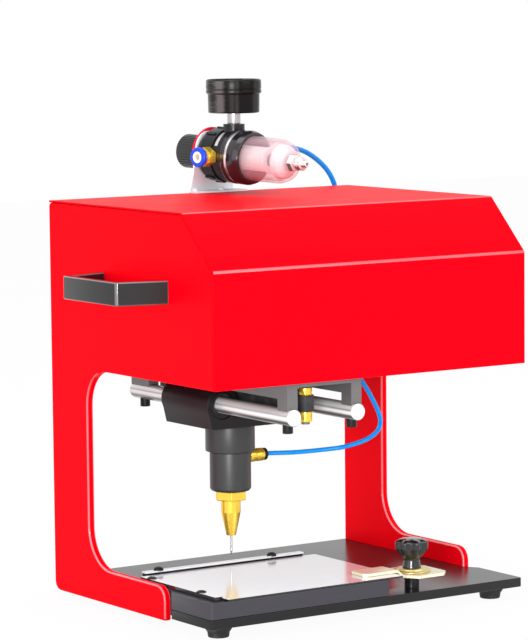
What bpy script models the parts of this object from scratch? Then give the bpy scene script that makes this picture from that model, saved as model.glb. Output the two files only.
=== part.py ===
"""Benchtop pneumatic nameplate marking machine.

A red sheet and plate frame carries a work table below and, inside its head, an
X and Y gantry on round rods. The gantry moves a pneumatic stylus that strikes
the nameplate. A filter regulator with a pressure gauge stands on the head.

Units are metres. The machine's frame has X to the right, Y to the back with the
rear faces at Y = 0, and Z up from the underside of the base plate.
"""
import math
from dataclasses import dataclass

import bmesh
import bpy
from mathutils import Matrix, Vector

# Allowances shared by all pieces
SEAT_GAP = 0.0003
OVERRUN = 0.003
LAP = 0.001

# Facets of round pieces and of rounded corners
SEGMENTS_LARGE = 32
SEGMENTS_MEDIUM = 20
SEGMENTS_SMALL = 12
HEX_SIDES = 6
ARC_CHORD = 0.006
MIN_ARC_STEPS = 2
SMOOTH_ANGLE = math.radians(32)

# Frame: side plates with a folded cover over the head
FRAME_WIDTH = 0.400
FRAME_TOP = 0.424
HEAD_DEPTH = 0.327
HEAD_BOTTOM = 0.246
CHAMFER_DEPTH = 0.058
CHAMFER_DROP = 0.057
SHEET_THICKNESS = 0.002
SHEET_BEND_RADIUS = 0.002
PLATE_THICKNESS = 0.008
PLATE_DROP = 0.005
PLATE_FOOT_TOP = 0.031
PLATE_FOOT_REACH = 0.227
COLUMN_DEPTH = 0.0745
LOWER_THROAT_RADIUS = 0.044
UPPER_THROAT_RADIUS = 0.040
PLATE_TOE_RADIUS = 0.015
PLATE_HEEL_RADIUS = 0.010
PLATE_CREST_RADIUS = 0.0035
PLATE_NOSE_RADIUS = 0.002

# Base plate and its rubber feet
BASE_THICKNESS = 0.010
BASE_REACH = 0.319
APRON_HALF_WIDTH = 0.202
APRON_RELIEF_DEPTH = 0.016
APRON_CORNER_RADIUS = 0.003
FOOT_HEIGHT = 0.013
FOOT_RADIUS = 0.0135
FOOT_TOP_RADIUS = 0.012
FOOT_CHAMFER = 0.001
FOOT_RECESS_RADIUS = 0.0045
FOOT_RECESS_DEPTH = 0.007
FRONT_FOOT_X = 0.177
FRONT_FOOT_MARGIN = 0.025
REAR_FOOT_X = 0.148
REAR_FOOT_REACH = 0.040

# Work table with its stops
TABLE_TOP = 0.030
TABLE_SHEET_THICKNESS = 0.002
TABLE_RIGHT = 0.023
TABLE_OVERHANG = 0.018
TABLE_REAR_REACH = 0.146
REAR_STOP_LEFT = -0.178
REAR_STOP_RIGHT = 0.027
REAR_STOP_DEPTH = 0.008
REAR_STOP_HEIGHT = 0.0032
REAR_STOP_LEFT_MARGIN = 0.019
REAR_STOP_RIGHT_MARGIN = 0.040
LEFT_STOP_X = -0.1865
LEFT_STOP_WIDTH = 0.009
LEFT_STOP_REAR_REACH = 0.165
LEFT_STOP_FRONT_REACH = 0.310
LEFT_STOP_HEIGHT = 0.0017
LEFT_STOP_REAR_MARGIN = 0.016
LEFT_STOP_FRONT_MARGIN = 0.033
STOP_SCREW_RADIUS = 0.0053
STOP_SCREW_HEIGHT = 0.0046
STOP_SCREW_CROWN = 0.0012

# Workpiece clamp: stud, bent plate and star knob
CLAMP_X = 0.074
CLAMP_FRONT_MARGIN = 0.029
STUD_RADIUS = 0.004
STUD_SPACER_RADIUS = 0.008
STUD_GRIP = 0.010
CLAMP_PLATE_THICKNESS = 0.003
CLAMP_PLATE_LOW = 0.024
CLAMP_TONGUE_LEFT = 0.002
CLAMP_TONGUE_NIB = 0.004
CLAMP_BEND_CLEARANCE = 0.004
CLAMP_BEND_LENGTH = 0.008
CLAMP_FLARE_LENGTH = 0.010
CLAMP_PLATE_RIGHT = 0.105
CLAMP_PLATE_CLIP = 0.009
CLAMP_TONGUE_HALF_WIDTH = 0.014
CLAMP_TIP_HALF_WIDTH = 0.010
CLAMP_HALF_WIDTH = 0.0285
CLAMP_END_HALF_WIDTH = 0.019
CLAMP_WASHER_RADIUS = 0.0205
CLAMP_WASHER_THICKNESS = 0.0037
CLAMP_HUB_RADIUS = 0.0095
CLAMP_HUB_HEIGHT = 0.016
CLAMP_STAR_RADIUS = 0.018
CLAMP_STAR_HEIGHT = 0.016
CLAMP_STAR_EDGE = 0.0025
CLAMP_STAR_VALLEY = 0.0035
CLAMP_STAR_LOBES = 7
CLAMP_STAR_LOBE_POINTS = 6

# Side handles
HANDLE_REAR_ROOT = 0.1072
HANDLE_FRONT_ROOT = 0.2435
HANDLE_REAR_GRIP = 0.1216
HANDLE_FRONT_GRIP = 0.2286
HANDLE_STANDOFF = 0.055
HANDLE_THICKNESS = 0.0085
HANDLE_BOTTOM = 0.3285
HANDLE_HEIGHT = 0.0245
HANDLE_CORNER_RADIUS = 0.003

# X gantry: two rails between brackets, motor, belt and pulleys
X_RAIL_RADIUS = 0.008
X_RAIL_LIFT = 0.038
X_RAIL_FRONT_REACH = 0.270
X_RAIL_REAR_REACH = 0.076
RAIL_BRACKET_THICKNESS = 0.012
RAIL_BRACKET_WALL = 0.012
RAIL_BRACKET_RADIUS = 0.006
X_BELT_REACH = 0.173
X_BELT_LIFT = 0.029
X_BELT_WIDTH = 0.010
X_PULLEY_SPAN = 0.165
X_PULLEY_RIM = 0.002
MOTOR_SHELF_LIFT = 0.045
MOTOR_SHELF_THICKNESS = 0.004
MOTOR_SHELF_DEPTH = 0.054
MOTOR_SHELF_MARGIN = 0.004
X_MOTOR_SIZE = 0.042
X_MOTOR_HEIGHT = 0.038
MOTOR_BOSS_RADIUS = 0.011
MOTOR_BOSS_HEIGHT = 0.002
MOTOR_CORNER_SHARE = 0.12
MOTOR_SHAFT_RADIUS = 0.0025
MOTOR_SHAFT_SEAT = 0.016
IDLER_PIN_HEAD_RADIUS = 0.0045
IDLER_PIN_HEAD_HEIGHT = 0.0025

# Belt drives share one pulley and belt section
PULLEY_RADIUS = 0.007
BELT_THICKNESS = 0.0015
BELT_CLAMP_WALL = 0.0045
BELT_CLAMP_DEPTH = 0.012

# X carriage, which carries the Y channel and the air valve
GANTRY_X = -0.058
CARRIAGE_PLATE_HALF_WIDTH = 0.030
CARRIAGE_PLATE_THICKNESS = 0.010
CARRIAGE_BEARING_WALL = 0.010
VALVE_SHELF_RIGHT = 0.060
VALVE_SHELF_THICKNESS = 0.004
VALVE_SHELF_FRONT_REACH = 0.254
VALVE_SHELF_REAR_REACH = 0.222
VALVE_LEFT = -0.016
VALVE_RIGHT = 0.056
VALVE_DEPTH = 0.022
VALVE_HEIGHT = 0.026
VALVE_COIL_LENGTH = 0.024
VALVE_COIL_RISE = 0.006
VALVE_PORT_X = 0.044
VALVE_PORT_REACH = 0.238
VALVE_PORT_RADIUS = 0.0055
VALVE_PORT_DROP = 0.007

# Y channel with its rods
CHANNEL_WEB_THICKNESS = 0.006
CHANNEL_HEAD_GAP = 0.001
CHANNEL_HALF_WIDTH = 0.047
CHANNEL_LEG = 0.013
CHANNEL_FRONT_REACH = 0.318
CHANNEL_REAR_REACH = 0.012
CHANNEL_LEG_BOTTOM = 0.229
CHANNEL_BLOCK_BOTTOM = 0.215
CHANNEL_FRONT_BLOCK = 0.018
CHANNEL_REAR_BLOCK = 0.036
Y_ROD_RADIUS = 0.009
Y_ROD_OFFSET = 0.0405
Y_ROD_HEIGHT = 0.210
Y_ROD_FRONT_REACH = 0.321
Y_ROD_CHAMFER = 0.001
ROD_SCREW_RADIUS = 0.0055
ROD_SCREW_HEIGHT = 0.008
ROD_SCREW_INSET = 0.009
ROD_SCREW_REAR_INSET = 0.018
Y_PULLEY_OFFSET = -0.0105
Y_PULLEY_FRONT_REACH = 0.298
Y_PULLEY_REAR_REACH = 0.030
Y_PULLEY_BOTTOM = 0.202
Y_PULLEY_TOP = 0.238
Y_BELT_BOTTOM = 0.213
Y_BELT_WIDTH = 0.017
Y_MOTOR_SIZE = 0.036
Y_MOTOR_HEIGHT = 0.0365

# Marking head: carriage on the Y rods
HEAD_FRONT_REACH = 0.187
HEAD_REAR_REACH = 0.095
HOUSING_RADIUS = 0.020
HOUSING_TOP = 0.2284
HEAD_BRIDGE_TOP = 0.196
HEAD_UNDERSIDE = 0.184
HEAD_BOTTOM_HALF_WIDTH = 0.054
HOUSING_FLARE_ANGLE = math.radians(-30)
BEARING_RADIUS = 0.015
BEARING_INSET = 0.001

# Stylus: collar, body, nozzle, pin and return spring
STYLUS_X = -0.0584
STYLUS_REACH = 0.139
COLLAR_RADIUS = 0.027
COLLAR_BOTTOM = 0.1526
COLLAR_EDGE = 0.001
STYLUS_BODY_RADIUS = 0.0225
STYLUS_BODY_BOTTOM = 0.109
STYLUS_BODY_EDGE = 0.003
CHAMBER_RADIUS = 0.0125
CHAMBER_FLOOR = 0.115
NOZZLE_HEX_FLATS = 0.032
NOZZLE_HEX_BOTTOM = 0.0987
NOZZLE_NECK_RADIUS = 0.01075
NOZZLE_NECK_BOTTOM = 0.085
NOZZLE_TIP_RADIUS = 0.0052
NOZZLE_TIP_BOTTOM = 0.0595
NOZZLE_GUIDE_HEIGHT = 0.074
PIN_ROD_RADIUS = 0.004
PIN_ROD_BOTTOM = 0.088
NEEDLE_RADIUS = 0.00125
NEEDLE_TIP = 0.0387
NEEDLE_POINT = 0.003
PISTON_BOTTOM = 0.130
PISTON_HEIGHT = 0.008
SPRING_WIRE_RADIUS = 0.0006
SPRING_COIL_RADIUS = 0.0085
SPRING_TURNS = 4
SPRING_POINTS_PER_TURN = 10
PORT_HEIGHT = 0.1447
PORT_RADIUS = 0.005
FITTING_HEX_LENGTH = 0.0185
FITTING_RADIUS = 0.0075
FITTING_RING_LENGTH = 0.0045
FITTING_RING_RADIUS = 0.0068
FITTING_BORE = 0.0015
STYLUS_HOSE_RADIUS = 0.0025

# Filter regulator, drawn along its own axis from knob to drain
REGULATOR_X = 0.017
REGULATOR_REACH = 0.005
REGULATOR_HEIGHT = 0.4665
REGULATOR_YAW = math.radians(14)
REGULATOR_DIP = math.radians(3.3)
KNOB_START = -0.050
KNOB_END = -0.014
KNOB_RADIUS = 0.01925
KNOB_RIB = 0.0007
KNOB_RIBS = 30
KNOB_BEVEL = 0.003
NUT_START = -0.012
NUT_THICKNESS = 0.003
NUT_RADIUS = 0.030
NECK_RADIUS = 0.017
SPINDLE_RADIUS = 0.003
SPINDLE_LENGTH = 0.022
BRACKET_THICKNESS = 0.002
BRACKET_HALF_WIDTH = 0.036
BRACKET_CROWN_RADIUS = 0.026
BRACKET_CROWN_SHARE = 0.75
BRACKET_FOOT_REACH = 0.016
BRACKET_SCREW_REACH = 0.009
BRACKET_SCREW_RADIUS = 0.003
BRACKET_SCREW_HEIGHT = 0.003
BRACKET_SCREWS_X = (-0.016, 0.019)
BODY_RADIUS = 0.030
BODY_END = 0.030
BODY_SHOULDER = 0.006
BODY_BAND_RADIUS = 0.0285
BODY_BAND_START = 0.016
BODY_BAND_END = 0.024
GAUGE_X = 0.023
GAUGE_REACH = 0.030
GAUGE_BOSS_RADIUS = 0.012
GAUGE_BOSS_TOP = 0.501
GAUGE_STEM_RADIUS = 0.0075
GAUGE_STUB_RADIUS = 0.0045
GAUGE_STUB_BOTTOM = 0.494
GAUGE_BOTTOM = 0.5135
GAUGE_RADIUS = 0.029
GAUGE_BEZEL_BOTTOM = 0.5355
GAUGE_BEZEL_RADIUS = 0.031
GAUGE_BEZEL_LIP = 0.003
GAUGE_TOP = 0.551
GAUGE_DIAL_HEIGHT = 0.541
GAUGE_WALL = 0.0025
GAUGE_LENS_THICKNESS = 0.002
GAUGE_LENS_RECESS = 0.002
GAUGE_NEEDLE_LENGTH = 0.020
GAUGE_NEEDLE_TAIL = 0.007
GAUGE_NEEDLE_WIDTH = 0.0022
GAUGE_NEEDLE_THICKNESS = 0.0008
GAUGE_NEEDLE_RISE = 0.0015
GAUGE_HUB_RADIUS = 0.0025
GAUGE_PIN_RADIUS = 0.001
GAUGE_NEEDLE_REST = math.radians(-135)
COLLAR_START = 0.0303
BOWL_COLLAR_END = 0.056
BOWL_COLLAR_RADIUS = 0.0305
BOWL_COLLAR_LIP = 0.002
BOWL_START = 0.034
BOWL_SHOULDER = 0.100
BOWL_END = 0.112
BOWL_RADIUS = 0.025
BOWL_END_RADIUS = 0.014
BOWL_WALL = 0.0025
BOWL_DOME_STEPS = 3
FILTER_RADIUS = 0.013
FILTER_CORE_RADIUS = 0.008
FILTER_END = 0.082
DRAIN_STEM_RADIUS = 0.004
DRAIN_NUT_RADIUS = 0.01035
DRAIN_NUT_LENGTH = 0.006
DRAIN_TRAVEL = 0.003
DRAIN_BARREL_RADIUS = 0.0075
DRAIN_BARREL_LENGTH = 0.007
DRAIN_TIP_RADIUS = 0.004
DRAIN_END = 0.134
DRAIN_BORE = 0.002
DRAIN_INNER = 0.104
SIDE_PORT_START = 0.016
PORT_BORE = 0.0055
PORT_FLOOR = 0.022
INLET_HEX_FLATS = 0.019
INLET_HEX_LENGTH = 0.0105
INLET_BOSS_RADIUS = 0.009
INLET_BOSS_LENGTH = 0.003
INLET_BORE = 0.0063
INLET_COLLAR_RADIUS = 0.011
INLET_COLLAR_LENGTH = 0.005
INLET_COLLAR_TRAVEL = 0.0015
INLET_SLEEVE_RADIUS = 0.0058
INLET_SLEEVE_LENGTH = 0.009
INLET_TUBE_BORE = 0.0032
OUTLET_HEX_FLATS = 0.017
OUTLET_HEX_LENGTH = 0.009
OUTLET_BOSS_RADIUS = 0.0065
OUTLET_LENGTH = 0.020
FEED_HOSE_RADIUS = 0.003

# Rear panel: elbow for the feed hose and the control socket
ELBOW_X = 0.1835
ELBOW_STANDOFF = 0.0155
ELBOW_HEIGHT = 0.336
ELBOW_RADIUS = 0.0075
ELBOW_TOP = 0.350
ELBOW_STUB_RADIUS = 0.0045
ELBOW_FLANGE_RADIUS = 0.009
ELBOW_FLANGE_LENGTH = 0.004
SOCKET_X = -0.120
SOCKET_HEIGHT = 0.304
SOCKET_FLANGE = 0.032
SOCKET_FLANGE_THICKNESS = 0.003
SOCKET_FLANGE_CORNER = 0.004
SOCKET_RADIUS = 0.011
SOCKET_LENGTH = 0.013
SOCKET_BORE = 0.008
SOCKET_DEPTH = 0.009
SOCKET_TAIL_RADIUS = 0.009
SOCKET_TAIL_LENGTH = 0.012

# Derived places that several pieces share
PLATE_OUTER = FRAME_WIDTH / 2
PLATE_INNER = PLATE_OUTER - PLATE_THICKNESS
BETWEEN_PLATES = PLATE_INNER - SEAT_GAP
COVER_UNDERSIDE = FRAME_TOP - SHEET_THICKNESS
BASE_TOP = BASE_THICKNESS
TABLE_SHEET_BOTTOM = TABLE_TOP - TABLE_SHEET_THICKNESS
TABLE_SEAT = TABLE_TOP + SEAT_GAP
TABLE_SHEET_LEFT = LEFT_STOP_X + max(LEFT_STOP_WIDTH / 2, STOP_SCREW_RADIUS) + SEAT_GAP
TABLE_SHEET_RIGHT = TABLE_RIGHT + TABLE_OVERHANG
REAR_STOP_MIDDLE_REACH = TABLE_REAR_REACH + REAR_STOP_DEPTH / 2
TABLE_SHEET_REAR_REACH = REAR_STOP_MIDDLE_REACH + max(REAR_STOP_DEPTH / 2, STOP_SCREW_RADIUS) + SEAT_GAP
CLAMP_REACH = BASE_REACH - CLAMP_FRONT_MARGIN
FRONT_FOOT_REACH = BASE_REACH - FRONT_FOOT_MARGIN
CLAMP_PLATE_TOP = CLAMP_PLATE_LOW + CLAMP_PLATE_THICKNESS
CLAMP_WASHER_BOTTOM = CLAMP_PLATE_TOP + SEAT_GAP
CLAMP_HUB_BOTTOM = CLAMP_WASHER_BOTTOM + CLAMP_WASHER_THICKNESS
CLAMP_STAR_BOTTOM = CLAMP_HUB_BOTTOM + CLAMP_HUB_HEIGHT
CLAMP_STAR_TOP = CLAMP_STAR_BOTTOM + CLAMP_STAR_HEIGHT
STUD_TOP = CLAMP_HUB_BOTTOM + STUD_GRIP
STUD_BORE = STUD_RADIUS + SEAT_GAP
CHANNEL_TOP = HEAD_BOTTOM + CHANNEL_HEAD_GAP
X_RAIL_HEIGHT = CHANNEL_TOP + X_RAIL_LIFT
X_BELT_BOTTOM = X_RAIL_HEIGHT + X_BELT_LIFT
MOTOR_SHELF_BOTTOM = X_RAIL_HEIGHT + MOTOR_SHELF_LIFT
X_BELT_TOP = X_BELT_BOTTOM + X_BELT_WIDTH
X_RAIL_BORE = X_RAIL_RADIUS + SEAT_GAP
X_BELT_INNER = PULLEY_RADIUS + SEAT_GAP
BELT_OUTER = X_BELT_INNER + BELT_THICKNESS
X_PULLEY_BOTTOM = X_BELT_BOTTOM - X_PULLEY_RIM
X_PULLEY_TOP = X_BELT_TOP + X_PULLEY_RIM
MOTOR_SHELF_TOP = MOTOR_SHELF_BOTTOM + MOTOR_SHELF_THICKNESS
SHAFT_BORE = MOTOR_SHAFT_RADIUS + SEAT_GAP
CHANNEL_WEB_BOTTOM = CHANNEL_TOP - CHANNEL_WEB_THICKNESS
CARRIAGE_BOTTOM = CHANNEL_TOP + SEAT_GAP
CARRIAGE_PLATE_TOP = CARRIAGE_BOTTOM + CARRIAGE_PLATE_THICKNESS
VALVE_SHELF_TOP = CARRIAGE_BOTTOM + VALVE_SHELF_THICKNESS
VALVE_BOTTOM = VALVE_SHELF_TOP + SEAT_GAP
VALVE_PORT_BOTTOM = CARRIAGE_BOTTOM - VALVE_PORT_DROP
Y_ROD_BORE = Y_ROD_RADIUS + SEAT_GAP
Y_ROD_CENTRES = {"left": GANTRY_X - Y_ROD_OFFSET, "right": GANTRY_X + Y_ROD_OFFSET}
Y_PULLEY_X = GANTRY_X + Y_PULLEY_OFFSET
Y_BELT_TOP = Y_BELT_BOTTOM + Y_BELT_WIDTH
STYLUS_TOP = HEAD_UNDERSIDE - SEAT_GAP
STYLUS_BODY_TOP = COLLAR_BOTTOM - SEAT_GAP
NOZZLE_TOP = STYLUS_BODY_BOTTOM - SEAT_GAP
FITTING_START = STYLUS_X + STYLUS_BODY_RADIUS + SEAT_GAP
FITTING_END = FITTING_START + FITTING_HEX_LENGTH + FITTING_RING_LENGTH
SIDES = {"left": -1, "right": 1}
GAUGE_NEEDLE_BOTTOM = GAUGE_DIAL_HEIGHT + GAUGE_NEEDLE_RISE
GAUGE_NEEDLE_TOP = GAUGE_NEEDLE_BOTTOM + GAUGE_NEEDLE_THICKNESS
REGULATOR_DEPTH_SHARE = math.cos(REGULATOR_YAW) * math.cos(REGULATOR_DIP)
KNOB_FACE_RISE = (KNOB_RADIUS - KNOB_BEVEL) * math.sqrt(1 - REGULATOR_DEPTH_SHARE ** 2)
MACHINE_REAR = KNOB_FACE_RISE - KNOB_START * REGULATOR_DEPTH_SHARE - REGULATOR_REACH

# Route of the hose from the stylus fitting up to the valve on the X carriage
STYLUS_HOSE_ROUTE = (
    (0.0255, -0.148, 0.1441),
    (0.0594, -0.168, 0.1474),
    (0.0708, -0.180, 0.1509),
    (0.0808, -0.195, 0.1574),
    (0.0865, -0.209, 0.1670),
    (0.0853, -0.219, 0.1788),
    (0.0783, -0.226, 0.1905),
    (0.0680, -0.231, 0.2045),
    (0.0560, -0.235, 0.2200),
)
# Route of the hose from the regulator's outlet down to the elbow on the rear panel
FEED_HOSE_ROUTE = (
    (0.106, 0.0000, 0.4698),
    (0.127, 0.0060, 0.4690),
    (0.146, 0.0105, 0.4645),
    (0.163, 0.0130, 0.4560),
    (0.178, 0.0145, 0.4445),
    (0.187, 0.0152, 0.4335),
    (0.1925, 0.0155, 0.4215),
    (0.1950, 0.0155, 0.4040),
    (0.1935, 0.0155, 0.3860),
    (0.1885, 0.0155, 0.3690),
)
HOSE_POINT_SHARE = 2.5
HOSE_END_SHARE = 1.2
MAX_HOSE_POINTS = 80


@dataclass
class Carrier:
    """An empty that carries pieces, and where it stands in the frame they are drawn in."""

    empty: bpy.types.Object
    place: Vector


def clear_scene():
    """Remove every object of the open scene."""
    for old in list(bpy.data.objects):
        bpy.data.objects.remove(old, do_unlink=True)


def make_material(name, color, roughness, metallic=0.0, alpha=1.0):
    """Return a Principled material of this colour."""
    finish = bpy.data.materials.new(name)
    finish.use_nodes = True
    shader = finish.node_tree.nodes["Principled BSDF"]
    shader.inputs["Base Color"].default_value = (*color, 1.0)
    shader.inputs["Roughness"].default_value = roughness
    shader.inputs["Metallic"].default_value = metallic
    shader.inputs["Alpha"].default_value = alpha
    finish.diffuse_color = (*color, alpha)
    return finish


def make_carrier(name, place, above=None):
    """Return an empty at PLACE, which is given in the frame of the carrier above it."""
    empty = bpy.data.objects.new(name, None)
    bpy.context.scene.collection.objects.link(empty)
    empty.location = place
    if above is None:
        return Carrier(empty, Vector())
    empty.parent = above.empty
    empty.location = Vector(place) - above.place
    return Carrier(empty, Vector(place))


def place_object(name, data, carrier, origin):
    """Link an object to the scene with its origin at ORIGIN in the carrier's drawing frame."""
    piece = bpy.data.objects.new(name, data)
    bpy.context.scene.collection.objects.link(piece)
    piece.parent = carrier.empty
    piece.location = Vector(origin) - carrier.place
    return piece


def add_piece(name, shape, finish, carrier, origin=(0.0, 0.0, 0.0)):
    """Turn a drawn shape into a named object whose origin is ORIGIN."""
    bmesh.ops.translate(shape, vec=-Vector(origin), verts=shape.verts)
    data = bpy.data.meshes.new(name)
    shape.to_mesh(data)
    shape.free()
    if finish is not None:
        data.materials.append(finish)
    data.shade_smooth()
    data.set_sharp_from_angle(angle=SMOOTH_ANGLE)
    return place_object(name, data, carrier, origin)


def combine(piece, shape, carrier, operation):
    """Add a Boolean of the drawn shape to a piece, with the shape kept as a hidden tool."""
    label = f"{piece.name}_{operation.lower()}_{len(piece.modifiers) + 1}"
    tool = add_piece(label, shape, None, carrier)
    tool.hide_render = True
    tool.display_type = "WIRE"
    modifier = piece.modifiers.new(label, "BOOLEAN")
    modifier.operation = operation
    modifier.solver = "EXACT"
    modifier.object = tool


def cut(piece, shape, carrier):
    """Cut the drawn shape out of a piece."""
    combine(piece, shape, carrier, "DIFFERENCE")


def join(piece, shape, carrier):
    """Join the drawn shape to a piece."""
    combine(piece, shape, carrier, "UNION")


def loft(loops, bored=False):
    """Skin a solid over loops with equally many points; a bored one closes on itself."""
    shape = bmesh.new()
    rings = [[shape.verts.new(point) for point in loop] for loop in loops]
    spans = list(zip(rings, rings[1:]))
    if bored:
        spans.append((rings[-1], rings[0]))
    else:
        shape.faces.new(rings[0])
        shape.faces.new(rings[-1])
    for low, high in spans:
        for index, corner in enumerate(low):
            following = (index + 1) % len(low)
            shape.faces.new((corner, low[following], high[following], high[index]))
    bmesh.ops.recalc_face_normals(shape, faces=shape.faces)
    return shape


def on_axis(axis, along, first, second):
    """Return the point at a distance along an axis and at two places across it."""
    if axis == "X":
        return (along, first, second)
    if axis == "Y":
        return (first, along, second)
    return (first, second, along)


def prism(outline, axis, low, high):
    """Return an outline extruded from low to high along an axis."""
    return loft([[on_axis(axis, end, a, b) for a, b in outline] for end in (low, high)])


def rectangle(left, right, bottom, top):
    """Return the outline of a rectangle."""
    return [(left, bottom), (right, bottom), (right, top), (left, top)]


def block(left, right, front, rear, bottom, top):
    """Return a rectangular block."""
    return prism(rectangle(left, right, front, rear), "Z", bottom, top)


def circle(radius, segments, centre=(0.0, 0.0), turn=0.0):
    """Return the outline of a regular polygon with its corners on a circle."""
    angles = [turn + math.tau * index / segments for index in range(segments)]
    return [(centre[0] + radius * math.cos(a), centre[1] + radius * math.sin(a)) for a in angles]


def turned(profile, segments, axis="Z", centre=(0.0, 0.0), bored=False, turn=0.0):
    """Return a turned shape; the profile lists (radius, distance along the axis)."""
    loops = []
    for radius, along in profile:
        ring = circle(radius, segments, centre, turn)
        loops.append([on_axis(axis, along, a, b) for a, b in ring])
    return loft(loops, bored)


def rod(radius, segments, axis, centre, low, high):
    """Return a plain round rod."""
    return turned([(radius, low), (radius, high)], segments, axis, centre)


def hexagon(flats, axis, centre, low, high):
    """Return a hexagonal bar with this size across its flats."""
    corner = flats / 2 / math.cos(math.pi / HEX_SIDES)
    return turned([(corner, low), (corner, high)], HEX_SIDES, axis, centre)


def rounded(points, closed=True):
    """Replace each corner (a, b, radius) by an arc tangent to its two sides."""
    outline = []
    last = len(points) - 1
    for index, (a, b, radius) in enumerate(points):
        if radius == 0 or (not closed and index in (0, last)):
            outline.append((a, b))
            continue
        corner = Vector((a, b))
        following = points[(index + 1) % len(points)]
        before = (Vector(points[index - 1][:2]) - corner).normalized()
        after = (Vector(following[:2]) - corner).normalized()
        half_angle = before.angle(after) / 2
        centre = corner + (before + after).normalized() * (radius / math.sin(half_angle))
        start = corner + before * (radius / math.tan(half_angle)) - centre
        end = corner + after * (radius / math.tan(half_angle)) - centre
        sweep = math.copysign(math.pi - 2 * half_angle, start.cross(end))
        steps = max(MIN_ARC_STEPS, math.ceil(abs(sweep) * radius / ARC_CHORD))
        for step in range(steps + 1):
            point = centre + Matrix.Rotation(sweep * step / steps, 2) @ start
            outline.append((point.x, point.y))
    return outline


def offset_path(path, distance):
    """Return an open path moved sideways, to the left of its direction."""
    directions = [(Vector(b) - Vector(a)).normalized() for a, b in zip(path, path[1:])]
    normals = [Vector((-d.y, d.x)) for d in directions]
    moved = [Vector(path[0]) + normals[0] * distance]
    for point, first, second in zip(path[1:-1], normals, normals[1:]):
        mitre = (first + second).normalized()
        moved.append(Vector(point) + mitre * (distance / mitre.dot(first)))
    moved.append(Vector(path[-1]) + normals[-1] * distance)
    return [(point.x, point.y) for point in moved]


def smooth_route(points, spacing):
    """Return evenly spaced points on a smooth curve through the route's points."""
    knots = [Vector(point) for point in points]
    knots = [2 * knots[0] - knots[1], *knots, 2 * knots[-1] - knots[-2]]
    fine = []
    samples = MAX_HOSE_POINTS
    for p0, p1, p2, p3 in zip(knots, knots[1:], knots[2:], knots[3:]):
        for step in range(samples):
            t = step / samples
            fine.append(0.5 * (2 * p1 + (p2 - p0) * t + (2 * p0 - 5 * p1 + 4 * p2 - p3) * t ** 2
                               + (3 * p1 - p0 - 3 * p2 + p3) * t ** 3))
    fine.append(knots[-2])
    lengths = [0.0]
    for a, b in zip(fine, fine[1:]):
        lengths.append(lengths[-1] + (b - a).length)
    count = min(MAX_HOSE_POINTS, math.ceil(lengths[-1] / spacing)) + 1
    route = []
    index = 0
    for number in range(count):
        target = lengths[-1] * number / (count - 1)
        while index < len(fine) - 2 and lengths[index + 1] < target:
            index += 1
        share = (target - lengths[index]) / (lengths[index + 1] - lengths[index])
        route.append(fine[index].lerp(fine[index + 1], share))
    return route


def add_tube(name, points, radius, resolution, finish, carrier):
    """Add a round tube with filled ends along the points."""
    curve = bpy.data.curves.new(name, "CURVE")
    curve.dimensions = "3D"
    curve.bevel_depth = radius
    curve.bevel_resolution = resolution
    curve.use_fill_caps = True
    spline = curve.splines.new("POLY")
    spline.points.add(len(points) - 1)
    for target, point in zip(spline.points, points):
        target.co = (*(Vector(point) - carrier.place), 1.0)
    spline.use_smooth = True
    curve.materials.append(finish)
    piece = bpy.data.objects.new(name, curve)
    bpy.context.scene.collection.objects.link(piece)
    piece.parent = carrier.empty
    return piece


def make_finishes():
    """Return the materials by name."""
    return {
        "red_paint": make_material("red_paint", (0.87, 0.0, 0.012), 0.3),
        "black_paint": make_material("black_paint", (0.03, 0.03, 0.032), 0.35),
        "black_handle": make_material("black_handle", (0.02, 0.02, 0.022), 0.3),
        "rubber": make_material("rubber", (0.02, 0.02, 0.02), 0.8),
        "table_grey": make_material("table_grey", (0.15, 0.14, 0.155), 0.35, 0.4),
        "bright_sheet": make_material("bright_sheet", (0.85, 0.86, 0.88), 0.15, 1.0),
        "black_plastic": make_material("black_plastic", (0.012, 0.012, 0.014), 0.35),
        "gauge_black": make_material("gauge_black", (0.012, 0.012, 0.013), 0.3),
        "motor_black": make_material("motor_black", (0.02, 0.02, 0.022), 0.35),
        "carriage_black": make_material("carriage_black", (0.02, 0.018, 0.02), 0.35, 0.3),
        "cream_plate": make_material("cream_plate", (0.93, 0.87, 0.72), 0.35, 0.6),
        "chrome": make_material("chrome", (0.9, 0.9, 0.92), 0.08, 1.0),
        "steel": make_material("steel", (0.6, 0.6, 0.62), 0.3, 1.0),
        "channel_grey": make_material("channel_grey", (0.18, 0.17, 0.175), 0.4, 0.3),
        "stylus_grey": make_material("stylus_grey", (0.075, 0.075, 0.078), 0.35, 0.4),
        "brass": make_material("brass", (0.88, 0.55, 0.08), 0.2, 1.0),
        "belt_rubber": make_material("belt_rubber", (0.03, 0.03, 0.032), 0.6),
        "blue_hose": make_material("blue_hose", (0.0, 0.2, 0.75), 0.3),
        "blue_plastic": make_material("blue_plastic", (0.02, 0.1, 0.7), 0.3),
        "red_plastic": make_material("red_plastic", (0.75, 0.02, 0.05), 0.3),
        "white_plastic": make_material("white_plastic", (0.85, 0.84, 0.82), 0.4),
        "clear_bowl": make_material("clear_bowl", (0.9, 0.8, 0.82), 0.08, 0.0, 0.4),
        "clear_lens": make_material("clear_lens", (0.95, 0.95, 0.97), 0.05, 0.0, 0.3),
        "bracket_white": make_material("bracket_white", (0.75, 0.8, 0.83), 0.3, 0.5),
    }


def head_line(inset=0.0):
    """Return the head's side line in (y, z), from the rear of the top to the front's foot."""
    line = [
        (0.0, FRAME_TOP),
        (CHAMFER_DEPTH - HEAD_DEPTH, FRAME_TOP),
        (-HEAD_DEPTH, FRAME_TOP - CHAMFER_DROP),
        (-HEAD_DEPTH, HEAD_BOTTOM),
    ]
    return offset_path(line, inset)


def with_radii(path, radii):
    """Return a path's points with a corner radius each."""
    return [(a, b, radius) for (a, b), radius in zip(path, radii)]


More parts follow.
